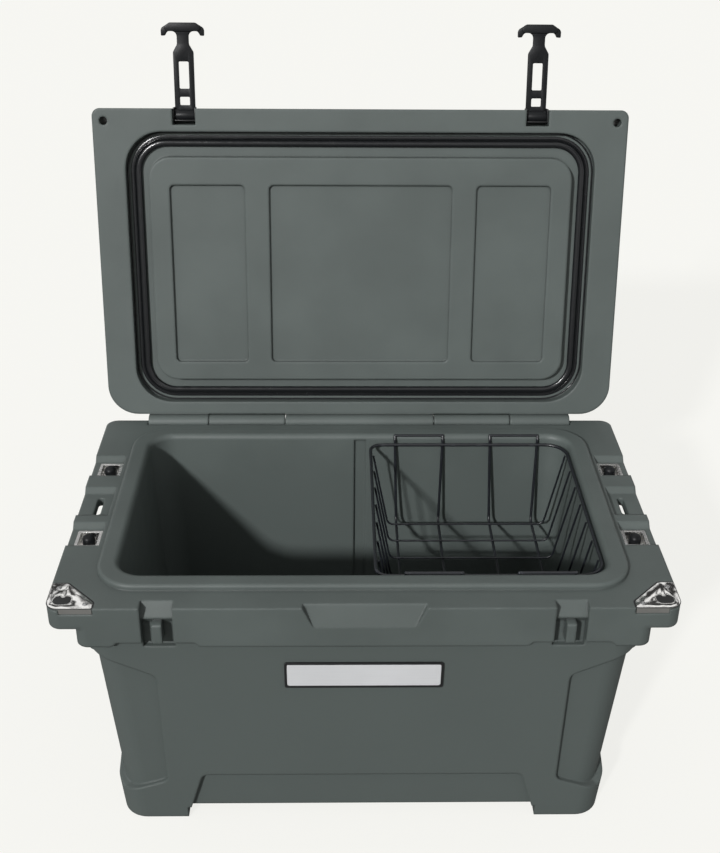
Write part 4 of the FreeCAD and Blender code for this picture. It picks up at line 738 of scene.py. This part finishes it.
@dataclass
class StrapLatch:
    """Rubber strap with two windows, a waist and a mushroom-shaped pull."""

    side: Side
    strap: float = 24.5 * MM
    thick: float = 6.0 * MM
    above_pin: float = 4.0 * MM
    waist: float = 14.0 * MM
    pull: float = 52.0 * MM
    tail: float = 74.0 * MM
    neck: float = 83.0 * MM
    shoulder: float = 98.0 * MM
    crown: float = 108.0 * MM
    window: float = 12.5 * MM

    def outline(self) -> list[Corner]:
        """Rounded corners of the strap, its waist and its drooping pull."""
        half, waist, pull = self.strap / 2, self.waist / 2, self.pull / 2
        right = [(half, 0.0, 0.0), (half, self.tail, 4 * MM), (waist, self.neck, 5 * MM),
                 (waist, self.shoulder, 6 * MM), (pull - 7.5 * MM, self.shoulder, 3.5 * MM),
                 (pull - 4.6 * MM, self.shoulder - 5 * MM, 1.3 * MM),
                 (pull - 0.2 * MM, self.shoulder - 5.4 * MM, 1.3 * MM),
                 (pull, self.crown - 6.5 * MM, 5 * MM), (pull - 11 * MM, self.crown, 4 * MM)]
        return right + [(-x, y, radius) for x, y, radius in right[::-1]]

    def hole(self, near: float, far: float) -> list[Corner]:
        """Rounded corners of one window."""
        half = self.window / 2
        return [(across, along, 1.5 * MM) for across, along in
                ((-half, near), (half, near), (half, far), (-half, far))]

    def ribs(self) -> list[bmesh.types.BMesh]:
        """Raised grip bars across the pull."""
        bars = []
        for number in range(3):
            bar = bmesh.new()
            bmesh.ops.create_cube(bar, size=1.0)
            size = (self.pull * (0.50 - 0.05 * number), 1.2 * MM, 1.4 * MM)
            bmesh.ops.scale(bar, vec=size, verts=bar.verts)
            along = self.crown - (2.6 + 2.6 * number) * MM
            place = (0.0, along, self.above_pin + self.thick + 2.0 * MM)
            bmesh.ops.translate(bar, vec=place, verts=bar.verts)
            round_off(bar, 0.5 * MM, 2)
            bars.append(bar)
        return bars

    def build(self, finishes: Finishes) -> None:
        """Make the latch and hang it on its pin."""
        name = "latch_" + self.side.value
        flat = plate_mesh(self.outline(), [self.hole(31 * MM, 63 * MM), self.hole(11.5 * MM, 21.5 * MM)],
                          self.thick, 1.1 * MM)
        bmesh.ops.translate(flat, vec=(0.0, 0.0, self.above_pin), verts=flat.verts)
        pull = plate_mesh([item for item in self.outline() if item[1] > self.neck + 10 * MM], [],
                          self.thick + 4 * MM, 2.4 * MM)
        bmesh.ops.translate(pull, vec=(0.0, 0.0, self.above_pin - 2 * MM), verts=pull.verts)
        eye = bmesh.new()
        bmesh.ops.create_cone(eye, cap_ends=True, segments=32, radius1=7 * MM, radius2=7 * MM,
                              depth=self.strap, matrix=Matrix.Rotation(math.pi / 2, 4, "Y"))
        round_off(eye, 0.8 * MM, 2)
        rails = []
        for sign in (-1.0, 1.0):
            rail = bmesh.new()
            bmesh.ops.create_cube(rail, size=1.0)
            bmesh.ops.scale(rail, vec=(2.2 * MM, 66 * MM, 2.0 * MM), verts=rail.verts)
            bmesh.ops.translate(rail, vec=(sign * (self.strap / 2 - 1.6 * MM), 39 * MM,
                                           self.above_pin + self.thick), verts=rail.verts)
            round_off(rail, 0.7 * MM, 2)
            rails.append(rail)
        whole = joined([flat, pull, eye, *rails, *self.ribs()])
        pin = centre("latch_pin_" + self.side.value)
        bmesh.ops.transform(whole, matrix=lid_space(pin), verts=whole.verts)
        new_piece(name + "_rubber", whole, finishes.rubber, name, [name])


@dataclass
class SlotLiner:
    """Black moulding that lines a lid slot round the strap's eye."""

    side: Side
    wide: float = 27.6 * MM
    wall: float = 1.5 * MM
    deep: float = 16.0 * MM
    tall: float = 15.0 * MM

    def build(self, finishes: Finishes) -> None:
        """Make the two cheeks and the back."""
        panels = []
        for across, along, width, depth in ((-1, 0.0, self.wall, self.deep), (1, 0.0, self.wall, self.deep),
                                            (0, -1.0, self.wide, self.wall)):
            panel = bmesh.new()
            bmesh.ops.create_cube(panel, size=1.0)
            bmesh.ops.scale(panel, vec=(width, depth, self.tall), verts=panel.verts)
            bmesh.ops.translate(panel, vec=(across * (self.wide - self.wall) / 2,
                                            along * (self.deep - self.wall) / 2, 0.0), verts=panel.verts)
            round_off(panel, 0.4 * MM, 2)
            panels.append(panel)
        whole = joined(panels)
        pin = centre("latch_pin_" + self.side.value)
        place = pin + LID_FRONT * 1.5 * MM - LID_TOP * 1.0 * MM
        bmesh.ops.transform(whole, matrix=lid_space(place), verts=whole.verts)
        new_piece("slot_liner_" + self.side.value, whole, finishes.trim, "lid")


@dataclass
class LidGasket:
    """Hollow rubber seal pressed into the lid's channel, swept as closed rings."""

    wall: float = 9.0 * MM
    corner: float = 40.0 * MM
    lip: float = 2.0 * MM
    flange: float = 5.0 * MM
    channel: float = 9.6 * MM

    def ring(self, inset: float, lift: float) -> list[Vector]:
        """Points round the channel.

        Args:
            inset: how far in from the seal's outer edge.
            lift: how far from the channel's floor.

        Returns:
            The points, in order.
        """
        low, high = (Vector(corner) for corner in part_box("lid_gasket"))
        width = high.x - low.x - 2 * inset
        depth = frame_depth("lid_gasket") - 2 * inset
        radius = self.corner - inset
        middle = (low + high) / 2.0
        axes = lid_space(middle)
        points = []
        for across, forward, start in ((1, 1, 0.0), (-1, 1, 90.0), (-1, -1, 180.0), (1, -1, 270.0)):
            hub = Vector((across * (width / 2 - radius), forward * (depth / 2 - radius), lift))
            for step in range(13):
                angle = math.radians(start + step * 7.5)
                points.append(axes @ (hub + radius * Vector((math.cos(angle), math.sin(angle), 0.0))))
        return points

    def build(self, finishes: Finishes) -> None:
        """Make the bulb, its flange, its outer lip and a thin black ring of painted shadow at the channel's
        outer step.
        """
        bulb = sweep(self.ring(self.wall / 2, 0.2 * MM), self.wall * 0.46, 16, True, 0.62, LID_TOP)
        outer = sweep(self.ring(-0.8 * MM, 1.6 * MM), self.lip / 2, 8, True, 1.2, LID_TOP)
        flange = sweep(self.ring(-self.flange / 2, 2.0 * MM), self.flange / 2, 14, True, 0.20, LID_TOP)
        # Painted shadow: a thin black rubber ring along the channel's outer step stands in for the shade in
        # that step.
        edge = sweep(self.ring(-self.channel + self.lip / 2, 1.4 * MM), self.lip / 2, 8, True, 1.0, LID_TOP)
        new_piece("gasket_bulb", joined([bulb, outer, flange, edge]), finishes.gloss_rubber, "lid",
                  ["lid_gasket"], 50.0)


@dataclass
class CornerPlate:
    """Pressed corner plate with a padlock hole, a bottle-opener tooth and two screws."""

    side: Side
    thick: float = 1.6 * MM
    proud: float = 0.2 * MM
    # How far the black rim of painted shadow reaches past the plate, in millimetres.
    shade_border: float = 1.2

    def outline(self, grown: float = 0.0) -> list[Corner]:
        """Rounded corners seen from above, measured from the box's outer corner.

        Args:
            grown: how much larger than the plate, in millimetres.

        Returns:
            The corners.
        """
        sign = -self.side.sign
        far, wide, long = 0.3 - grown * 0.3, 49.0 + grown, 44.0 + grown
        shape = [(far, far, 13.0), (wide, far, 2.5), (wide, 11.0 + grown * 0.5, 5.0),
                 (17.0 + grown * 0.5, long, 6.0), (far, long, 2.5)]
        return [(sign * x * MM, y * MM, radius * MM) for x, y, radius in shape]

    def hole(self) -> list[Corner]:
        """Oval hole with a tooth that catches a crown cap."""
        shape = [(-9.6, -7.6, 6.4), (9.6, -7.6, 6.4), (9.6, 7.6, 6.0), (2.6, 7.6, 0.6), (1.4, 5.0, 0.6),
                 (-1.4, 5.0, 0.6), (-2.6, 7.6, 0.6), (-9.6, 7.6, 6.0)]
        return [(-self.side.sign * (x + 16.0) * MM, (y + 15.0) * MM, radius * MM) for x, y, radius in shape]

    def rim(self) -> bmesh.types.BMesh:
        """Rolled lip round the hole."""
        lip = bmesh.new()
        edges = add_loop(lip, self.hole(), 6)
        inside = {vertex for edge in edges for vertex in edge.verts}
        ordered = [next(iter(inside))]
        while len(ordered) < len(inside):
            ordered.append(next(edge.other_vert(ordered[-1]) for edge in ordered[-1].link_edges
                                if edge.other_vert(ordered[-1]) not in ordered))
        path = [vertex.co + Vector((0.0, 0.0, self.thick - 0.55 * MM)) for vertex in ordered]
        lip.free()
        return sweep(path, 0.7 * MM, 8, True)

    def screw(self, across: float, along: float) -> bmesh.types.BMesh:
        """Domed screw head with a six-sided socket."""
        head = bmesh.new()
        bmesh.ops.create_cone(head, cap_ends=True, segments=24, radius1=3.4 * MM, radius2=3.4 * MM,
                              depth=1.2 * MM)
        top = max(head.faces, key=lambda face: face.calc_center_median().z)
        bmesh.ops.bevel(head, geom=list(top.edges), offset=0.55 * MM, offset_type="OFFSET", segments=3,
                        profile=0.5, affect="EDGES", material=-1)
        socket = bmesh.new()
        bmesh.ops.create_cone(socket, cap_ends=True, segments=6, radius1=1.5 * MM, radius2=1.1 * MM,
                              depth=0.2 * MM)
        bmesh.ops.translate(socket, vec=(0.0, 0.0, 0.6 * MM), verts=socket.verts)
        whole = joined([head, socket])
        place = (-self.side.sign * across * MM, along * MM, self.thick - 0.55 * MM)
        bmesh.ops.translate(whole, vec=place, verts=whole.verts)
        return whole

    def build(self, finishes: Finishes) -> None:
        """Make the plate, its folded skirt, its screws and a black rim of painted shadow round the plate."""
        name = self.side.value
        low, high = (Vector(corner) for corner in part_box("corner_plate_" + name))
        outside = high.x if self.side is Side.RIGHT else low.x
        corner = Vector((outside, low.y, high.z - self.thick + self.proud))
        flat = plate_mesh(self.outline(), [self.hole()], self.thick, 0.45 * MM)
        skirt = bmesh.new()
        bmesh.ops.create_cube(skirt, size=1.0)
        bmesh.ops.scale(skirt, vec=(34.5 * MM, 1.5 * MM, 7.0 * MM), verts=skirt.verts)
        bmesh.ops.translate(skirt, vec=(-self.side.sign * 31.4 * MM, 1.0 * MM, self.thick - 3.9 * MM),
                            verts=skirt.verts)
        round_off(skirt, 0.5 * MM, 2)
        whole = joined([flat, skirt, self.rim()])
        bmesh.ops.translate(whole, vec=corner, verts=whole.verts)
        new_piece("plate_" + name, whole, finishes.steel, "tub", ["corner_plate_" + name])
        # Painted shadow: a black sheet a little larger than the plate, under it, shows as the dark line of
        # shade in the gap round the plate's edge.
        shade_rim = plate_mesh(self.outline(self.shade_border), [], 0.6 * MM, 0.15 * MM)
        shade_rim_height = self.thick - self.proud - 0.45 * MM
        bmesh.ops.translate(shade_rim, vec=corner + Vector((0.0, 0.0, shade_rim_height)), verts=shade_rim.verts)
        new_piece("plate_bed_" + name, shade_rim, finishes.trim, "tub")
        screws = joined([self.screw(9.0, 36.0), self.screw(41.0, 8.0)])
        bmesh.ops.translate(screws, vec=corner, verts=screws.verts)
        new_piece("screws_" + name, screws, finishes.pin, "tub", ["plate_screws_" + name])


@dataclass
class HingeShroud:
    """Curved web of the lid that closes the gap over a knuckle of the tub."""

    side: Side
    radius: float = 10.3 * MM
    thick: float = 0.9 * MM
    inset: float = 31.0 * MM
    low: float = 26.0
    high: float = 70.0

    def build(self, finishes: Finishes) -> None:
        """Turn the web about the hinge's pin."""
        low, high = (Vector(corner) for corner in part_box("hinge_pin_" + self.side.value))
        axis = (low + high) / 2.0
        reach = (high.x - low.x) / 2.0 - self.inset
        outer = self.radius + self.thick
        corners = [Vector((sign * reach, out, 0.0)) for sign, out in
                   ((-1, self.radius), (1, self.radius), (1, outer), (-1, outer))]
        mesh = bmesh.new()
        verts = [mesh.verts.new(corner) for corner in corners]
        face = mesh.faces.new(verts)
        start = Matrix.Rotation(math.radians(self.low), 3, "X")
        bmesh.ops.rotate(mesh, verts=verts, cent=(0, 0, 0), matrix=start)
        bmesh.ops.spin(mesh, geom=[*verts, *mesh.edges, face], cent=(0, 0, 0), axis=(1, 0, 0),
                       angle=math.radians(self.high - self.low), steps=12)
        bmesh.ops.remove_doubles(mesh, verts=mesh.verts, dist=1e-6)
        bmesh.ops.recalc_face_normals(mesh, faces=mesh.faces)
        bmesh.ops.translate(mesh, vec=axis, verts=mesh.verts)
        new_piece("hinge_shroud_" + self.side.value, mesh, finishes.shell, "lid")


@dataclass
class RopeHandle:
    """Braided rope hanging in a loop under the wing, with a ribbed rubber grip."""

    side: Side
    thick: float = 8.0 * MM
    neck: float = 8.0 * MM
    grip_long: float = 78.0 * MM
    grip_round: float = 12.4 * MM
    bore: float = 5.2 * MM
    grooves: int = 9

    def route(self) -> list[Vector]:
        """Points that guide the rope from one pivot to the other."""
        joint = next(item for item in frame["joints"] if item["child"] == "handle_" + self.side.value)
        pivot = Vector(joint["pos_m"])
        half = [(0.0, 0.0), (1.0, -22.0), (8.0, -44.0), (24.0, -63.2), (56.0, -65.0)]
        ends = [(74.0 - inwards, drop) for inwards, drop in half]
        ends += [(inwards - 74.0, drop) for inwards, drop in half[::-1]]
        return [pivot + Vector((0.0, along * MM, drop * MM)) for along, drop in ends]

    def line(self) -> list[Vector]:
        """Points read from the smooth curve over the route."""
        route = self.route()
        curve = bpy.data.curves.new("rope_line", "CURVE")
        curve.dimensions = "3D"
        curve.resolution_u = 10
        spline = curve.splines.new("NURBS")
        spline.points.add(len(route) - 1)
        for point, place in zip(spline.points, route):
            point.co = (*place, 1.0)
        spline.order_u = 3
        spline.use_endpoint_u = True
        holder = bpy.data.objects.new("rope_line", curve)
        bpy.context.scene.collection.objects.link(holder)
        mesh = bpy.data.meshes.new_from_object(holder)
        points = [vertex.co.copy() for vertex in mesh.vertices]
        bpy.data.meshes.remove(mesh)
        bpy.data.objects.remove(holder)
        bpy.data.curves.remove(curve)
        return points

    def grip(self) -> bmesh.types.BMesh:
        """Rubber sleeve turned about the rope, with finger grooves."""
        half = self.grip_long / 2
        profile = [(self.bore, -half)]
        steps = self.grooves * 8
        for step in range(steps + 1):
            along = -half + self.grip_long * step / steps
            swell = 1.0 - 0.10 * math.cos(math.pi * along / self.grip_long) ** 2
            groove = 0.5 * MM * (0.5 + 0.5 * math.cos(math.tau * step / 8)) ** 3
            closing = min(1.0, (half - abs(along)) / (3 * MM))
            edge = 2.2 * MM * (1.0 - math.sqrt(max(0.0, 1.0 - (1.0 - closing) ** 2)))
            profile.append((self.grip_round * swell - groove - edge, along))
        profile.append((self.bore, half))
        mesh = bmesh.new()
        verts = [mesh.verts.new((0.0, along, radius)) for radius, along in profile]
        edges = [mesh.edges.new(pair) for pair in zip(verts, verts[1:] + verts[:1])]
        bmesh.ops.spin(mesh, geom=verts + edges, cent=(0, 0, 0), axis=(0, 1, 0), angle=math.tau, steps=40,
                       use_merge=True)
        bmesh.ops.recalc_face_normals(mesh, faces=mesh.faces)
        return mesh

    def build(self, finishes: Finishes) -> None:
        """Make the rope and its grip."""
        name = self.side.value
        body = "handle_" + name
        path = self.line()
        tube = sweep(path, self.thick / 2, 16, False, 1.0, Vector((1, 0, 0)), self.neck)
        rope = new_piece("rope_braid_" + name, tube, finishes.rope, body, ["rope_" + name], 60.0)
        sleeve = self.grip()
        bmesh.ops.translate(sleeve, vec=centre("grip_" + name), verts=sleeve.verts)
        new_piece("grip_sleeve_" + name, sleeve, finishes.grip_rubber, body, ["grip_" + name])


@dataclass
class Studio:
    """Pale floor, soft fill, one key light from the front left, and the camera."""

    floor_size: float = 60.0
    key_travel: tuple[float, float, float] = (0.894, 1.66, -1.0)
    key_power: float = 3.15
    key_spread: float = 4.0
    fill_colour: Colour = (1.0, 1.0, 0.985)
    fill_power: float = 0.56
    mirror_power: float = 1.05
    mottle_scale: float = 3.4
    mottle: tuple[tuple[float, float], ...] = ((0.47, 0.04), (0.545, 1.0))
    camera_at: tuple[float, float, float] = (-0.0261, -1.1952, 1.0975)
    pitch: float = 29.253
    yaw: float = -1.100
    roll: float = 0.544
    lens: float = 51.041079
    sensor: float = 36.0

    def floor(self) -> None:
        """Lay the floor."""
        mesh = bmesh.new()
        bmesh.ops.create_grid(mesh, x_segments=8, y_segments=8, size=self.floor_size / 2)
        data = bpy.data.meshes.new("floor")
        mesh.to_mesh(data)
        mesh.free()
        data.materials.append(StudioPaper().make("studio_paper"))
        floor = bpy.data.objects.new("floor", data)
        bpy.context.scene.collection.objects.link(floor)

    def key(self) -> None:
        """Hang the key light."""
        sun = bpy.data.lights.new("key", "SUN")
        sun.energy = self.key_power
        sun.angle = math.radians(self.key_spread)
        lamp = bpy.data.objects.new("key", sun)
        lamp.rotation_euler = Vector(self.key_travel).to_track_quat("-Z", "Y").to_euler()
        bpy.context.scene.collection.objects.link(lamp)

    def air(self) -> None:
        """Fill the room with pale light, mottled for what mirrors it."""
        world = bpy.data.worlds.new("studio")
        world.use_nodes = True
        tree = Tree(world.node_tree)
        fill = tree.nodes["Background"]
        tree.feed(fill.inputs["Color"], self.fill_colour)
        tree.feed(fill.inputs["Strength"], self.fill_power)
        place = tree.node("ShaderNodeTexCoord", {}, {}).outputs["Generated"]
        cloud = tree.node("ShaderNodeTexNoise", {}, {"Vector": place, "Scale": self.mottle_scale,
                                                      "Detail": 1.0})
        ramp = tree.node("ShaderNodeValToRGB", {"stops": self.mottle}, {0: cloud.outputs["Fac"]})
        mirrored = tree.node("ShaderNodeBackground", {}, {"Color": ramp.outputs[0],
                                                           "Strength": self.mirror_power})
        haze = tree.node("ShaderNodeBackground", {}, {"Color": StudioPaper().colour})
        rays = tree.node("ShaderNodeLightPath", {}, {}).outputs
        lit = tree.node("ShaderNodeMixShader", {}, {0: rays["Is Glossy Ray"], 1: fill.outputs[0],
                                                     2: mirrored.outputs[0]})
        seen = tree.node("ShaderNodeMixShader", {}, {0: rays["Is Camera Ray"], 1: lit.outputs[0],
                                                      2: haze.outputs[0]})
        tree.links.new(seen.outputs[0], tree.nodes["World Output"].inputs[0])
        bpy.context.scene.world = world

    def camera(self) -> None:
        """Stand the camera where it looks down on the open box."""
        lens = bpy.data.cameras.new("camera")
        lens.sensor_fit = "VERTICAL"
        lens.sensor_height = self.sensor
        lens.sensor_width = self.sensor
        lens.lens = self.lens
        lens.clip_end = 100.0
        eye = bpy.data.objects.new("camera", lens)
        down = Matrix.Rotation(math.radians(90.0 - self.pitch), 4, "X")
        turn = Matrix.Rotation(math.radians(self.yaw), 4, "Z")
        tilt = Matrix.Rotation(math.radians(self.roll), 4, "Z")
        eye.matrix_world = Matrix.Translation(self.camera_at) @ turn @ down @ tilt
        bpy.context.scene.collection.objects.link(eye)
        bpy.context.scene.camera = eye

    def build(self) -> None:
        """Set up the whole studio."""
        bpy.context.scene.view_settings.view_transform = "Standard"
        self.floor()
        self.key()
        self.air()
        self.camera()


def dress_nodes(finishes: Finishes) -> None:
    """Give every carried-over part its finish."""
    for name, node in frame["nodes"].items():
        material = finishes.for_node(name)
        if not node.material_slots:
            node.data.materials.append(material)
        for slot in node.material_slots:
            slot.material = material
        log.info("%s: %s", name, material.name)


def main() -> None:
    """Dress the box, add its soft and pressed pieces, and set up the studio."""
    logging.basicConfig(level=logging.INFO, format="%(name)s %(message)s")
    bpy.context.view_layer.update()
    finishes = Finishes()
    dress_nodes(finishes)
    LidGasket().build(finishes)
    for side in Side:
        StrapLatch(side).build(finishes)
        SlotLiner(side).build(finishes)
        CornerPlate(side).build(finishes)
        HingeShroud(side).build(finishes)
        RopeHandle(side).build(finishes)
    Studio().build()


if __name__ == "__main__":
    main()
